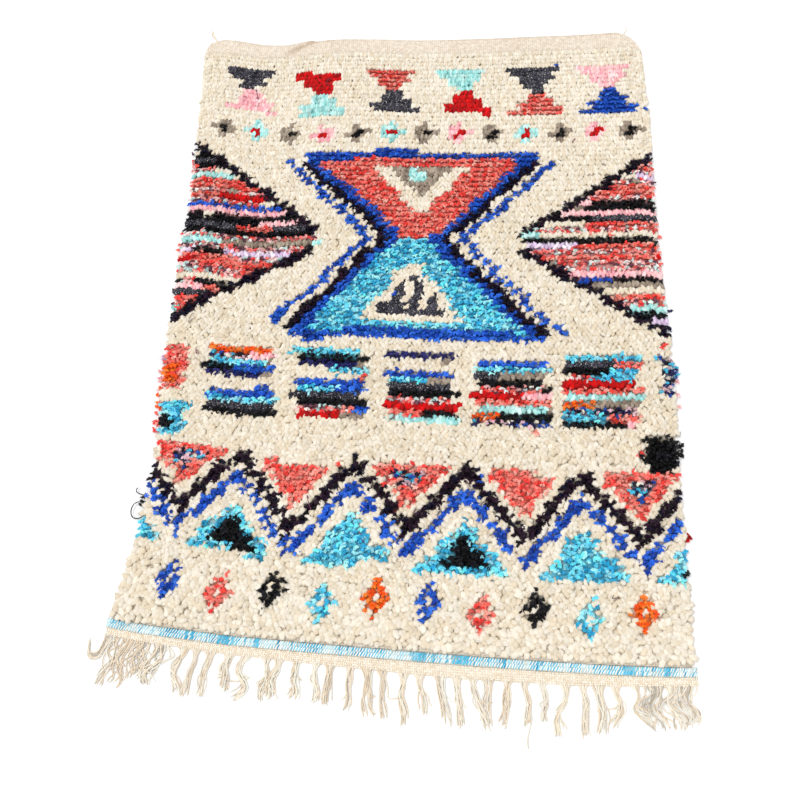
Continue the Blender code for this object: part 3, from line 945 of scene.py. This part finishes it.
def weave_material(name, shade, dark_shade, warp_pitch, weft_pitch, warp_share):
    """Undyed weave: uneven cotton in a fine two-way thread pattern, painted darker between its threads as
    shade, and browner where a value on its points says.
    """
    material, tree, shader = start_material(name, 0.90, 0.25, 0.08)
    place = add_node(tree, "ShaderNodeTexCoord").outputs["Object"]
    shift = add_node(tree, "ShaderNodeTexNoise", {"Vector": place, "Scale": 40.0, "Detail": 2.0})
    bent = add_node(tree, "ShaderNodeVectorMath", {0: shift.outputs["Color"], 1: (0.0016,) * 3, 2: place},
                    operation="MULTIPLY_ADD")
    weave = use_group(tree, plain_weave, {"Place": bent.outputs[0], "Warp Pitch": warp_pitch,
                                          "Weft Pitch": weft_pitch, "Warp Share": warp_share})
    slubs = add_node(tree, "ShaderNodeTexNoise", {"Vector": place, "Scale": 170.0, "Detail": 4.0})
    patch = reckon(tree, "MULTIPLY_ADD", slubs.outputs[0], 1.50, -0.50)
    # The weave's height paints the threads lighter and the gaps between them darker, as shade; the slubs
    # add uneven patches.
    lit = reckon(tree, "MULTIPLY_ADD", weave["Height"], 0.55, patch)
    colour = mix_colours(tree, lit, (*light_value(dark_shade), 1.0), (*light_value(shade), 1.0))
    # Browner where the point value is high: painted shade on the fold's steep side, and the far edge and
    # slow patches.
    soil_and_shade_here = add_node(tree, "ShaderNodeAttribute", attribute_name="soil").outputs["Fac"]
    browned_colour = add_node(tree, "ShaderNodeVectorMath", {0: colour, 1: SOIL_AND_SHADE_BROWN}, operation="MULTIPLY").outputs[0]
    soiled_and_shaded = mix_colours(tree, soil_and_shade_here, colour, browned_colour)
    finish_material(tree, shader, soiled_and_shaded, weave["Height"], 0.6, 0.0012)
    return material


undyed_weave = weave_material("undyed_weave", (241, 231, 216), (190, 168, 144), 0.0050, 0.0030, 0.45)
pile_base = pile_material("pile_base", (0.95, 0.2, 0.0), wool_fibres, 500.0, 0.0004,
                          {"Root Tone": (1.0, 1.0, 1.0, 1.0), "Mottle": 0.3})
print("weave", undyed_weave.name, "and", pile_base.name)

# %% [markdown]
# Between the ends the eye sees their roots, so the ground under each knot is tinted like its yarn, and
# painted a little darker as the shade between the ends. The nearest knot is found from a point's share of
# the rug. A value on the points browns the undyed cloth: on the steep side of the fold as painted shade,
# along the far edge, and a little in slow patches.

# %% Lay the ground cloth
ground_cloth = cloth_slab("ground_cloth", COLUMNS, ROWS + WOVEN_ROWS, ground_place, undyed_weave,
                          PILE_ROWS + 0.5 / (ROWS + WOVEN_ROWS))
ground_cloth.data.materials.append(pile_base)
# The ground under the pile is painted darker than its yarn, as shade between the ends: a little under
# cream, more under the dyes.
BASE_PAINTED_SHADE = np.where(np.arange(len(CARD)) == YARN["cream"], 0.95, 0.72)
mean_tint = np.array([light_value(shades).mean(axis=0) for _, shades in CARD.values()])
mean_tint = mean_tint * BASE_PAINTED_SHADE[:, None]
ground_points = np.zeros(len(ground_cloth.data.vertices) * 3, np.float32)
ground_cloth.data.vertices.foreach_get("co", ground_points)
ground_x, ground_y = ground_points.reshape(-1, 3)[:, :2].T
ground_across = (ground_x - LEFT) / (RIGHT - LEFT)
near_end, far_end = near_y(ground_across), far_y(ground_across)
ground_share = (ground_y - near_end) / (far_end - near_end)
left_there = np.interp(ground_share, left_along, left_sides)
right_there = np.interp(ground_share, right_along, right_sides)
nearest_row = np.clip(np.searchsorted(row_along, ground_share), 0, ROWS - 1)
nearest_column = ((ground_x - left_there) / (right_there - left_there) * COLUMNS).astype(int)
base_tint = mean_tint[chart[nearest_row, np.clip(nearest_column, 0, COLUMNS - 1)]]
give_points(ground_cloth.data, "tint", np.c_[base_tint, np.zeros(len(base_tint))])
give_points(ground_cloth.data, "along", np.ones(len(base_tint)))
aside, fade = beside_fold(ground_x, ground_y)
# The fold's steep side is painted browner, as shade; the far edge and slow patches are browned too.
soil = 0.40 * fade * np.exp(-((aside - 0.0045) / 0.0050) ** 2)
soil = soil + 0.30 * np.clip((ground_share - 0.9965) / 0.0025, 0.0, 1.0)
soil = soil + 0.10 * wander(ground_x * 3.0, 17)
give_points(ground_cloth.data, "soil", np.clip(soil, 0.0, 1.0))
for polygon in ground_cloth.data.polygons:
    place_up = ground_share[list(polygon.vertices)].mean()
    polygon.material_index = int(row_along[0] * 0.8 < place_up < PILE_END - 0.0005)
print("ground cloth", triangle_count(ground_cloth), "triangles")

# %% [markdown]
# The twined band is worked across all the warps: pairs of wefts twist round each warp, which
# gives rows of slanting stitches. A stitch is a small grain laid at its slant, so a row is many
# copies of one shape along a line. Each row says where it runs, how it slants and how it is dyed.

# %% Stitches in rows
GAP = 0.0003
TWINING_WIDTH = 0.0170
GRAIN_DEPTH = 0.0013


def stitch_grain(seed):
    """A smooth grain, one unit wide and one unit long from zero."""
    grain = bmesh.new()
    grain.loops.layers.uv.new(END_MAP)
    bmesh.ops.create_uvsphere(grain, u_segments=6, v_segments=4, radius=1.0, calc_uvs=True)
    for vert in grain.verts:
        lump = noise.noise(vert.co * 1.1 + Vector((seed * 3.1, 0.0, 0.0)))
        vert.co.x *= 1.0 + 0.20 * lump + 0.25 * (abs(vert.co.z) > 0.5)
        vert.co.z = (vert.co.z + 1.0) / 2.0
    return grain


grain = as_template([stitch_grain(seed) for seed in range(6)], smooth=True)


def stitch_rows(name, rows, count, seed):
    """Grains laid in rows. Each row gives its place, slant, length, width, height and shades."""
    chance = np.random.default_rng(seed)
    parts = {"root": [], "side": [], "front": [], "rise": [], "tint": []}
    for place, slant, length, width, base, shades in rows:
        step_across = (np.arange(count) + 0.5 + chance.normal(0.0, 0.10, count)) / count
        middle_x, middle_y = place(step_across)
        angle = slant + chance.normal(0.0, 0.10, count)
        long = length * chance.uniform(0.88, 1.12, count)
        wide = width(step_across) * chance.uniform(0.88, 1.12, count)
        flow = vectors(np.cos(angle), np.sin(angle), 0.0)
        beside = vectors(np.sin(angle), -np.cos(angle), 0.0)
        middle = vectors(middle_x, middle_y, base + chance.normal(0.0, 0.00015, count))
        parts["root"].append(middle - flow * long[:, None] / 2.0)
        parts["rise"].append(flow * long[:, None])
        parts["side"].append(beside * wide[:, None])
        parts["front"].append(np.tile([0.0, 0.0, GRAIN_DEPTH], (count, 1)))
        parts["tint"].append(shades(step_across, chance))
    joined = {key: np.concatenate(value) for key, value in parts.items()}
    colours = np.concatenate([joined["tint"], np.zeros((len(joined["tint"]), 1))], axis=1)
    return lay_out(name, grain, joined["root"], joined["side"], joined["front"], joined["rise"],
                   np.zeros_like(joined["root"]), colours, seed)


print("grain", grain["co"].shape[1], "points,", int((grain["totals"] - 2).sum()), "triangles")

# %% [markdown]
# The band shows two rows of blue stitches, and white ones between them. The blue cotton is
# washed out in some stretches and deeper in others, and for short stretches both wefts are blue.
# Slow waves along the band decide where, so the changes come at uneven distances.

# %% Blues and whites of the band
BLUES = light_value([(112, 202, 230), (92, 190, 224), (136, 212, 236), (72, 176, 212)])
PALES = light_value([(178, 224, 238), (160, 216, 236), (198, 230, 240)])
WHITES = light_value([(252, 250, 244), (246, 244, 238), (254, 252, 248)])
TEALS = light_value([(50, 160, 200), (70, 180, 216)])


def blue_shades(across, chance):
    """Mostly light blue, with washed-out stretches and a few of deeper blue."""
    shades = BLUES[chance.integers(0, len(BLUES), len(across))]
    washed = wander(across * 6.0, 29) + 0.5 * wander(across * 19.0, 30) > 0.22
    shades = np.where(washed[:, None], PALES[chance.integers(0, len(PALES), len(across))], shades)
    deep = wander(across * 5.0, 21) + 0.8 * wander(across * 23.0, 22) > 0.78
    return np.where(deep[:, None], TEALS[chance.integers(0, 2, len(across))], shades)


def white_shades(across, chance):
    """White cotton, which turns blue in a few short stretches."""
    shades = WHITES[chance.integers(0, len(WHITES), len(across))]
    solid = wander(across * 4.0, 23) + 0.9 * wander(across * 21.0, 24) > 0.62
    return np.where(solid[:, None], BLUES[chance.integers(0, 4, len(across))], shades)


print("band shades", len(BLUES) + len(PALES) + len(TEALS), "blue and", len(WHITES), "white")

# %% [markdown]
# Under the stitches lies a low rounded base, a closed sheet like the ground cloth. The two rows
# of each pair are half a stitch apart, so the white grains show in the gaps of the blue ones.
# The blue grains swell and shrink slowly along the band, as hand tension does.

# %% Twined band
STITCH_PITCH = 0.0050


def band_y(across, share_up):
    """The y at a share of the band's width, counted from its near edge."""
    return near_y(across) - GAP - TWINING_WIDTH * (1.0 - share_up)


def band_place(across, along):
    """x, y and the top of the band's base."""
    return near_x(across), band_y(across, along), 0.0024 + 0.0016 * np.sin(np.pi * along) ** 0.5


def band_line(share_up, shift=0.0):
    """The middle line of one row of stitches on the band, or the same line further on."""
    def place(across):
        across = across + shift
        return near_x(across), band_y(across, share_up) + 0.0003 * wander(across * 9.0, 18)
    return place


def steady(width):
    """One width for a whole row of stitches."""
    return lambda across: width + 0.0 * across


def swelling(width, seed):
    """A width that swells and shrinks slowly along a row."""
    return lambda across: width + 0.00045 * wander(across * 11.0, seed)


STITCHES = int(round((RIGHT - LEFT) / STITCH_PITCH))
HALF_PITCH = 0.5 / STITCHES
UPPER, LOWER = 0.72, 0.27
SLANT = np.radians(64.0)
band_rows = [
    (band_line(UPPER), SLANT, 0.0104, swelling(0.00150, 25), 0.0044, blue_shades),
    (band_line(UPPER, HALF_PITCH), SLANT, 0.0100, steady(0.00108), 0.0043, white_shades),
    (band_line(LOWER), SLANT, 0.0104, swelling(0.00122, 26), 0.0044, blue_shades),
    (band_line(LOWER, HALF_PITCH), SLANT, 0.0104, steady(0.00132), 0.0043, white_shades),
]
string_weave = weave_material("string_weave", (240, 233, 220), (206, 192, 170), 0.0040, 0.0040, 0.5)
twined_ground = cloth_slab("twined_ground", 132, 4, band_place, string_weave)
twining_stitches = stitch_rows("twining_stitches", band_rows, STITCHES, 31)
# The colour group paints each grain a little darker at its start, as shade.
twining = pile_material("twining", (0.85, 0.25, 0.10), wool_fibres, 1500.0, 0.0002,
                        {"Root Tone": (0.92, 0.92, 0.92, 1.0), "Mottle": 0.14})
twining_stitches.data.materials.append(twining)
print("twined band", STITCHES, "stitches in a row,", triangle_count(twining_stitches), "triangles")

# %% [markdown]
# Below the band the cotton weave ends in a few more rows of fine slanting ridges, which turn
# the other way in every second row. The strip is wider in the middle than at the corners. The
# same grain makes its ridges, smaller and ecru.

# %% Ribbed strip
HEM_ACROSS = [0.0, 0.06, 0.16, 0.35, 0.50, 0.65, 0.80, 0.92, 1.0]
HEM_WIDTH = [0.013, 0.014, 0.015, 0.018, 0.022, 0.023, 0.021, 0.017, 0.014]
HEM_LEAN = [-0.034, -0.024, -0.012, -0.004, 0.006, 0.012, 0.004, 0.010, 0.008]
RIB_ROWS = 5
WARP_PITCH = 0.0040


def strip_top(across):
    """The y of the strip's upper edge, just under the band."""
    return near_y(across) - 2.0 * GAP - TWINING_WIDTH


def strip_wave(across):
    """How far the strip's lower edge wanders."""
    return 0.0008 * wander(across * 7.0, 28)


def strip_place(across, along):
    """x, y and the top of the strip's base."""
    width = np.interp(across, HEM_ACROSS, HEM_WIDTH)
    y = strip_top(across) - width * (1.0 - along) + strip_wave(across) * (1.0 - along)
    return near_x(across), y, 0.0022


def rib_line(number):
    """The middle line of one row of ridges on the strip."""
    def place(across):
        width = np.interp(across, HEM_ACROSS, HEM_WIDTH)
        y = strip_top(across) - width * (number + 0.5) / RIB_ROWS
        return near_x(across), y + strip_wave(across) * number / RIB_ROWS
    return place


ECRUS = light_value([(248, 240, 226), (244, 233, 215), (252, 246, 235), (238, 223, 201)])


def ecru_shades(across, chance):
    """Undyed cotton, each stitch slightly different."""
    return ECRUS[chance.integers(0, len(ECRUS), len(across))]


rib_rows = []
for number in range(RIB_ROWS):
    slope = np.radians(38.0 if number % 2 == 0 else 142.0)
    rib_rows.append((rib_line(number), slope, 0.0052, steady(0.00125), 0.0026, ecru_shades))
strip_ground = cloth_slab("strip_ground", 132, 4, strip_place, string_weave)
RIBS = int(round((RIGHT - LEFT) / WARP_PITCH))
strip_ridges = stitch_rows("strip_ridges", rib_rows, RIBS, 33)
# The colour group paints each ridge a little darker at its start, as shade.
ecru_cotton = pile_material("ecru_cotton", (0.88, 0.25, 0.08), wool_fibres, 1500.0, 0.0002,
                            {"Root Tone": (0.94, 0.90, 0.84, 1.0), "Mottle": 0.16})
strip_ridges.data.materials.append(ecru_cotton)
print("strip", triangle_count(strip_ridges), "triangles of ridges")

# %% [markdown]
# The fringe is the warps themselves, cut long after weaving. Every string is a curve with a round
# section, drawn to nothing at both ends, so that it closes when its points merge. It carries two
# maps: one runs round it and along it in metres, for its plies, and one is its own bake cell.

# %% Strings as curves
STRAND_MAP = "strand"


def lay_strings(name, paths, radii, colours):
    """Tubes of six sides along paths with equal numbers of points, as one closed mesh."""
    paths, radii = np.asarray(paths), np.asarray(radii)
    strings, points = radii.shape
    curve = bpy.data.curves.new(name, "CURVE")
    curve.dimensions = "3D"
    curve.bevel_depth = 1.0
    curve.bevel_resolution = 1
    for path, radius in zip(paths, radii):
        spline = curve.splines.new("POLY")
        spline.points.add(points - 1)
        spline.points.foreach_set("co", np.c_[path, np.ones(points)].astype(np.float32).ravel())
        spline.points.foreach_set("radius", radius.astype(np.float32))
    helper = add_object(name + "_curve", curve)
    bpy.context.view_layer.update()
    mesh = bpy.data.meshes.new_from_object(helper.evaluated_get(bpy.context.evaluated_depsgraph_get()))
    mesh.name = name
    bpy.data.objects.remove(helper)
    bpy.data.curves.remove(curve)
    lengths = np.linalg.norm(np.diff(paths, axis=1), axis=2).sum(axis=1)
    around_along = np.zeros(len(mesh.loops) * 2, np.float32)
    mesh.uv_layers[0].uv.foreach_get("vector", around_along)
    around_along = around_along.reshape(strings, -1, 2)
    mesh.uv_layers.remove(mesh.uv_layers[0])
    metres = np.stack([around_along[..., 0], around_along[..., 1] * lengths[:, None]], axis=-1)
    give_map(mesh, STRAND_MAP, metres)
    corner_cell, cells = own_cells(strings)
    give_map(mesh, END_MAP, (corner_cell + 0.06 + 0.88 * around_along) / cells)
    tone = np.zeros((strings, len(mesh.vertices) // strings, 4))
    tone[..., :3] = np.asarray(colours)[:, None]
    give_points(mesh, "tint", tone)
    closed = bmesh.new()
    closed.from_mesh(mesh)
    bmesh.ops.remove_doubles(closed, verts=closed.verts[:], dist=WELD)
    bmesh.ops.recalc_face_normals(closed, faces=closed.faces[:])
    closed.to_mesh(mesh)
    closed.free()
    mesh.shade_smooth()
    return add_object(name, mesh)


def string_radii(thickness, points, count, chance):
    """Strings that thin along their length and fray a little at the tip, with closed ends."""
    along = np.linspace(0.0, 1.0, points)
    body = 1.0 - 0.30 * along + 0.40 * along ** 6
    body[0] = body[-1] = 0.0
    each = body[None] * thickness * chance.uniform(0.85, 1.15, (count, 1))
    return each * chance.uniform(0.86, 1.14, (count, points))


print("strings carry the maps", STRAND_MAP, "and", END_MAP)

# %% [markdown]
# At the near left corner the first strings turn back in a wide hook. Such a string is walked point by
# point: its heading swings round over the middle of its length, and it is drawn to the corner on the way. A
# string's colour is one of the ecrus, and some strings of the corner bundles are painted darker, as shade
# among the dense strings there.

# %% Hooked strings and their shades
BUNDLES = 34
CORNER_BUNDLES = 4
STRING_POINTS = 17
# Corner strings are sometimes painted much darker, as shade among the dense strings.
CORNER_SHADED_TONES = [0.66, 0.94, 1.01, 1.05]
TONES = [0.90, 1.0, 1.04, 1.07]
OVERLAP = 0.004
chance = np.random.default_rng(57)


def hooked_string(string, start_x, start_y, along):
    """x and y of a string that turns back beside the left corner."""
    turned = np.clip((along - 0.40 - 0.01 * string) / 0.40, 0.0, 1.0)
    heading = np.radians(-106.0 - chance.uniform(-3.0, 3.0) - 158.0 * turned)
    pace = (0.078 + 0.0012 * string) / STRING_POINTS
    gathered = (LEFT + 0.006 + 0.0006 * string - start_x) * np.clip(along * 2.5, 0.0, 1.0)
    x = start_x + gathered + np.cumsum(np.cos(heading)) * pace + chance.normal(0.0, 0.0006, STRING_POINTS)
    return x, start_y + OVERLAP + np.cumsum(np.sin(heading)) * pace


def string_shade(corner):
    """Undyed cotton for one string, some painted darker in the corner bundles as shade."""
    shade = ECRUS[chance.integers(0, len(ECRUS))]
    return np.clip(shade * chance.choice(CORNER_SHADED_TONES if corner else TONES), 0.0, 0.95)


print("fringe of", BUNDLES, "bundles")

# %% [markdown]
# Ten to fourteen strings hang together in a bundle. They leave the cloth spread out, are drawn in
# to a neck and flare again at their ends, and the bundles lean together in threes. At the corners
# they are denser and cross and swirl. The strings lie on the floor, and where they cross, one
# rises over another. One string is much longer than the rest.

# %% Lay the fringe
NECK = 0.16
HOOKED_STRINGS = 8
LONG_STRING = (24, 2)
paths, tints = [], []
for number in range(BUNDLES):
    middle = (number + 0.5) / BUNDLES + chance.normal(0.0, 0.12) / BUNDLES
    corner = number < CORNER_BUNDLES or number > BUNDLES - CORNER_BUNDLES
    size = chance.integers(12, 15) if corner else chance.integers(10, 13)
    reach = chance.uniform(0.062, 0.090)
    swing_to = np.interp(middle, HEM_ACROSS, HEM_LEAN) + chance.normal(0.0, 0.006)
    gather = chance.uniform(0.7, 1.1) if corner else chance.uniform(0.22, 0.50)
    spread_out = 0.95 if corner else chance.uniform(0.60, 0.92)
    flare = 0.0 if corner else chance.uniform(0.0, 0.45)
    together = 0.0 if corner else (1 - number % 3) * chance.uniform(0.0, 0.013)
    swirls = number >= BUNDLES - CORNER_BUNDLES
    sway = 0.0100 * (-1.0) ** number if swirls else chance.normal(0.0, 0.0055)
    sway_phase = chance.uniform(0.0, 1.0)
    for string in range(size):
        start = middle + (string - (size - 1) / 2.0) * spread_out / size / BUNDLES
        start_x = near_x(np.clip(start, 0.003, 0.997))
        start_y = strip_top(start) - np.interp(start, HEM_ACROSS, HEM_WIDTH)
        middle_x = near_x(middle)
        swing = swing_to + chance.normal(0.0, 0.0030)
        along = np.linspace(0.0, 1.0, STRING_POINTS)
        ease = along ** 1.15 * (1.0 - 0.15 * np.sin(np.pi * along))
        drawn_in = 1.0 - (1.0 - gather) * np.clip(along / NECK, 0.0, 1.0) ** 0.8 + flare * along ** 3
        swirl = (0.0085 if corner else 0.0030) * chance.normal(0.0, 1.0)
        bends = np.sin(2.0 * np.pi * (along * chance.uniform(0.7, 1.6) + chance.uniform(0.0, 1.0)))
        x = middle_x + (start_x - middle_x) * drawn_in + swing * ease + together * along ** 1.8
        x = x + swirl * bends * np.sin(np.pi * along) ** 0.8
        x = x + sway * np.sin(2.0 * np.pi * (along * 1.1 + sway_phase)) * along ** 0.6
        hook = 0.0 if chance.random() > 0.18 else chance.uniform(0.2, 0.5)
        own_reach = reach * chance.uniform(0.84, 1.04)
        if (number, string) == LONG_STRING:
            own_reach = 0.112
        y = start_y + OVERLAP - (own_reach + OVERLAP) * (along - hook * along ** 3)
        if number == 0 and string < HOOKED_STRINGS:
            x, y = hooked_string(string, start_x, start_y, along)
            hook = 0.0
        x = x + hook * 0.024 * along ** 3 * (np.sign(chance.normal()) if number else -0.4)
        layer = (string * 0.37) % 1.0
        z = 0.0024 - 0.0010 * np.clip(along * 4.0, 0.0, 1.0)
        z = z + 0.0032 * layer * np.sin(np.pi * along) ** 0.7
        paths.append(vectors(x, y, np.maximum(z, 0.0014)))
        tints.append(string_shade(corner))
fringe = lay_strings("fringe", paths, string_radii(0.00125, STRING_POINTS, len(paths), chance), tints)
print("fringe", len(paths), "strings,", triangle_count(fringe), "triangles")

# %% [markdown]
# Cotton string is matt like the other cottons. Its grooves are painted browner than its strands, as painted
# shade, and its colour is uneven in long soft patches. The height of its plies serves both for the painted
# groove shade and for the bump.

# %% Cotton string
def string_material(name, roughness, turns, groove_shade):
    """Plied cotton: the tint, painted darker in the grooves between its strands as shade."""
    material, tree, shader = start_material(name, roughness, 0.25, 0.08)
    strand = add_node(tree, "ShaderNodeUVMap", uv_map=STRAND_MAP).outputs[0]
    place = add_node(tree, "ShaderNodeTexCoord").outputs["Object"]
    tint_in = add_node(tree, "ShaderNodeAttribute", attribute_name="tint").outputs
    ply = use_group(tree, plied_string, {"Strand": strand, "Turns": turns, "Plies": 3.0})
    colour = use_group(tree, yarn_colour, {"Tint": tint_in["Color"], "Heather": tint_in["Alpha"],
                                           "Along": ply["Height"], "Place": place, "Root Tone": groove_shade,
                                           "Mottle": 0.14, "Mottle Scale": 90.0})
    finish_material(tree, shader, colour["Color"], ply["Height"], 0.7, 0.0002)
    return material


# The last colour is the painted shade of the grooves.
cotton_string = string_material("cotton_string", 0.88, 110.0, (0.86, 0.75, 0.62, 1.0))
fringe.data.materials.append(cotton_string)
print("material", cotton_string.name)

# %% [markdown]
# Loose yarn ends still hang at the far corners, a dark one makes a small loop at the left side, and thin
# stray threads lie on the pile. Each is a string through a few places. The first six are listed one by one,
# and the threads are strewn by chance.

# %% Loose strings
def bent_path(points, start_z=0.0030):
    """A smooth path through a few places, lying low."""
    points = np.array(points, float)
    share_known = np.linspace(0.0, 1.0, len(points))
    share_wanted = np.linspace(0.0, 1.0, STRING_POINTS)
    fit = [np.polyfit(share_known, points[:, axis], min(3, len(points) - 1)) for axis in (0, 1)]
    x, y = (np.polyval(one, share_wanted) for one in fit)
    return vectors(x, y, start_z - 0.0014 * np.clip(share_wanted * 2.0, 0.0, 1.0))


loop_x, loop_y = rug_place(0.0, row_along[13])
loose_paths = [
    bent_path([(-0.507, 0.790), (-0.512, 0.812), (-0.520, 0.828), (-0.527, 0.846)]),
    bent_path([(-0.505, 0.790), (-0.510, 0.808), (-0.522, 0.822), (-0.520, 0.838)]),
    bent_path([(-0.470, 0.786), (-0.468, 0.800), (-0.464, 0.808), (-0.470, 0.822)]),
    bent_path([(0.496, 0.820), (0.500, 0.838), (0.506, 0.848), (0.502, 0.858)]),
    bent_path([(loop_x + 0.012, loop_y - 0.010), (loop_x - 0.014, loop_y - 0.012),
               (loop_x - 0.014, loop_y + 0.012), (loop_x + 0.012, loop_y + 0.010)], 0.009),
    bent_path([(loop_x + 0.010, loop_y + 0.030), (loop_x - 0.006, loop_y + 0.034),
               (loop_x - 0.014, loop_y + 0.040), (loop_x - 0.011, loop_y + 0.048)], 0.008),
]
loose_tints = [ECRUS[1], ECRUS[3], ECRUS[2], ECRUS[1], light_value((38, 38, 44)),
               light_value((90, 90, 96))]
THICK_YARNS = len(loose_paths)
STRAY_SHADES = light_value([(128, 66, 104), (70, 50, 70), (120, 100, 96)])
STRAYS = 12
for number in range(STRAYS):
    x, y = rug_place(chance.uniform(0.05, 0.95), chance.uniform(0.05, 0.93))
    run = chance.normal(0.0, 0.006, (3, 2))
    stray = [(x, y), (x + run[0, 0], y + run[0, 1]), (x + run[1, 0], y + run[1, 1] - 0.006),
             (x + run[2, 0], y + run[2, 1] - 0.010)]
    loose_paths.append(bent_path(stray, 0.0165))
    loose_tints.append(STRAY_SHADES[number % len(STRAY_SHADES)])
thickness = np.where(np.arange(len(loose_paths)) < THICK_YARNS, 0.0012, 0.0007)[:, None]
loose_yarns = lay_strings("loose_yarns", loose_paths,
                          string_radii(thickness, STRING_POINTS, len(loose_paths), chance), loose_tints)
loose_yarns.data.materials.append(cotton_string)
print("loose strings", len(loose_paths))

# %% [markdown]
# At the rug's sides a few yarn ends stick out past the last knot. They use the rag shape again,
# laid out singly with a long lean away from the rug. The list says the side, the row, how many
# there are and their yarn.

# %% Yarn ends at the sides
SIDE_ENDS = [(-1, 27, 12, "coral"), (-1, 30, 8, "orange"), (-1, 33, 9, "pink"),
             (-1, 36, 6, "lilac"), (-1, 15, 5, "black"), (-1, 74, 6, "confetti"),
             (-1, 56, 6, "confetti"), (1, 26, 8, "black"), (1, 37, 8, "multi"), (1, 34, 5, "pink"),
             (1, 44, 4, "navy"), (1, 60, 6, "confetti"), (1, 13, 4, "red")]
side_parts = []
for side, middle_row, amount, name in SIDE_ENDS:
    rows = middle_row + chance.normal(0.0, 1.3, amount)
    x, y = rug_place(np.full(amount, 0.5 + side * 0.494), np.interp(rows, np.arange(ROWS), row_along))
    out_by = side * chance.uniform(0.002, 0.009, amount)
    shades = light_value(CARD[name][1])[chance.integers(0, len(CARD[name][1]), amount)]
    side_parts.append(np.c_[x, y, out_by, chance.normal(0.0, 0.004, amount), shades])
side_parts = np.concatenate(side_parts)
side_x, side_y, out_by, drift = side_parts[:, :4].T
count = len(side_parts)
side_ends = lay_out("side_yarn_ends", rag, vectors(side_x, side_y, 0.004),
                    np.tile([0.0, 0.0034, 0.0], (count, 1)), np.tile([0.0, 0.0, 0.0030], (count, 1)),
                    vectors(out_by * 0.5, 0.0, 0.006), vectors(out_by, drift, -0.003),
                    np.c_[side_parts[:, 4:7], np.zeros(count)], 90)
side_ends.data.materials.append(cotton_rag)
print("ends at the sides", count)

# %% [markdown]
# Every piece rides on the rug's one body, and the part it dresses is hidden. The pile and the ground stand
# for the piled solid, the band for the twined one, and the strip with its fringe for the fringed one. The
# floor is marked as a backdrop.

# %% Floor and the rug's body
def plain_floor(size):
    """A wide pale floor at the rug's underside."""
    ground = bmesh.new()
    bmesh.ops.create_grid(ground, x_segments=1, y_segments=1, size=size)
    mesh = bpy.data.meshes.new("studio_floor")
    ground.to_mesh(mesh)
    ground.free()
    return add_object("studio_floor", mesh)


floor = plain_floor(6.0)
floor_material, _, floor_shader = start_material("studio_floor", 0.85, 0.2, 0.0)
floor_shader.inputs["Base Color"].default_value = (0.93, 0.93, 0.93, 1.0)
floor.data.materials.append(floor_material)
floor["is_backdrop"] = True

for piece in [*pile_pieces, side_ends, ground_cloth, loose_yarns]:
    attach(piece, "root")
    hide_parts("piled_cloth")
for piece in [twined_ground, twining_stitches]:
    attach(piece, "root")
    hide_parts("twined_band")
for piece in [strip_ground, strip_ridges, fringe]:
    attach(piece, "root")
    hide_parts("fringed_strip")
print("pieces", len(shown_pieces()), "triangles", sum(triangle_count(piece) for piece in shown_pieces()))

# %% [markdown]
# The light is a bright even room with one wide soft sun from the left, so the floor reads
# white, the tufts keep small soft shadows, and creases in the cotton still catch a highlight.
# The plain view transform keeps the dyes as bright as the photo shows them.

# %% Light
world = bpy.data.worlds.new("bright_room")
world.use_nodes = True
backdrop = world.node_tree.nodes["Background"]
backdrop.inputs["Color"].default_value = (1.0, 1.0, 1.0, 1.0)
backdrop.inputs["Strength"].default_value = 0.95
bpy.context.scene.world = world
bpy.context.scene.view_settings.view_transform = "Standard"

sun_data = bpy.data.lights.new("soft_sun", "SUN")
sun_data.energy = 1.2
sun_data.angle = 0.35
sun = add_object("soft_sun", sun_data)
sun.rotation_euler = Vector((0.40, 0.15, -1.0)).to_track_quat("-Z", "Y").to_euler()
print("light", backdrop.inputs["Strength"].default_value, sun_data.energy)

# %% [markdown]
# The camera was found by matching the rug's corners in the photo: it looks down at about 62
# degrees from beyond the near end, with a slight roll.

# %% Camera
camera_data = bpy.data.cameras.new("camera")
camera_data.lens = 45.9
camera_data.sensor_width = 36.0
camera = add_object("camera", camera_data)
camera.location = (0.1069, -1.1563, 1.8098)
camera.rotation_euler = np.radians((28.02, 2.233, 2.559))
bpy.context.scene.camera = camera
print("camera at", [round(x, 3) for x in camera.location])
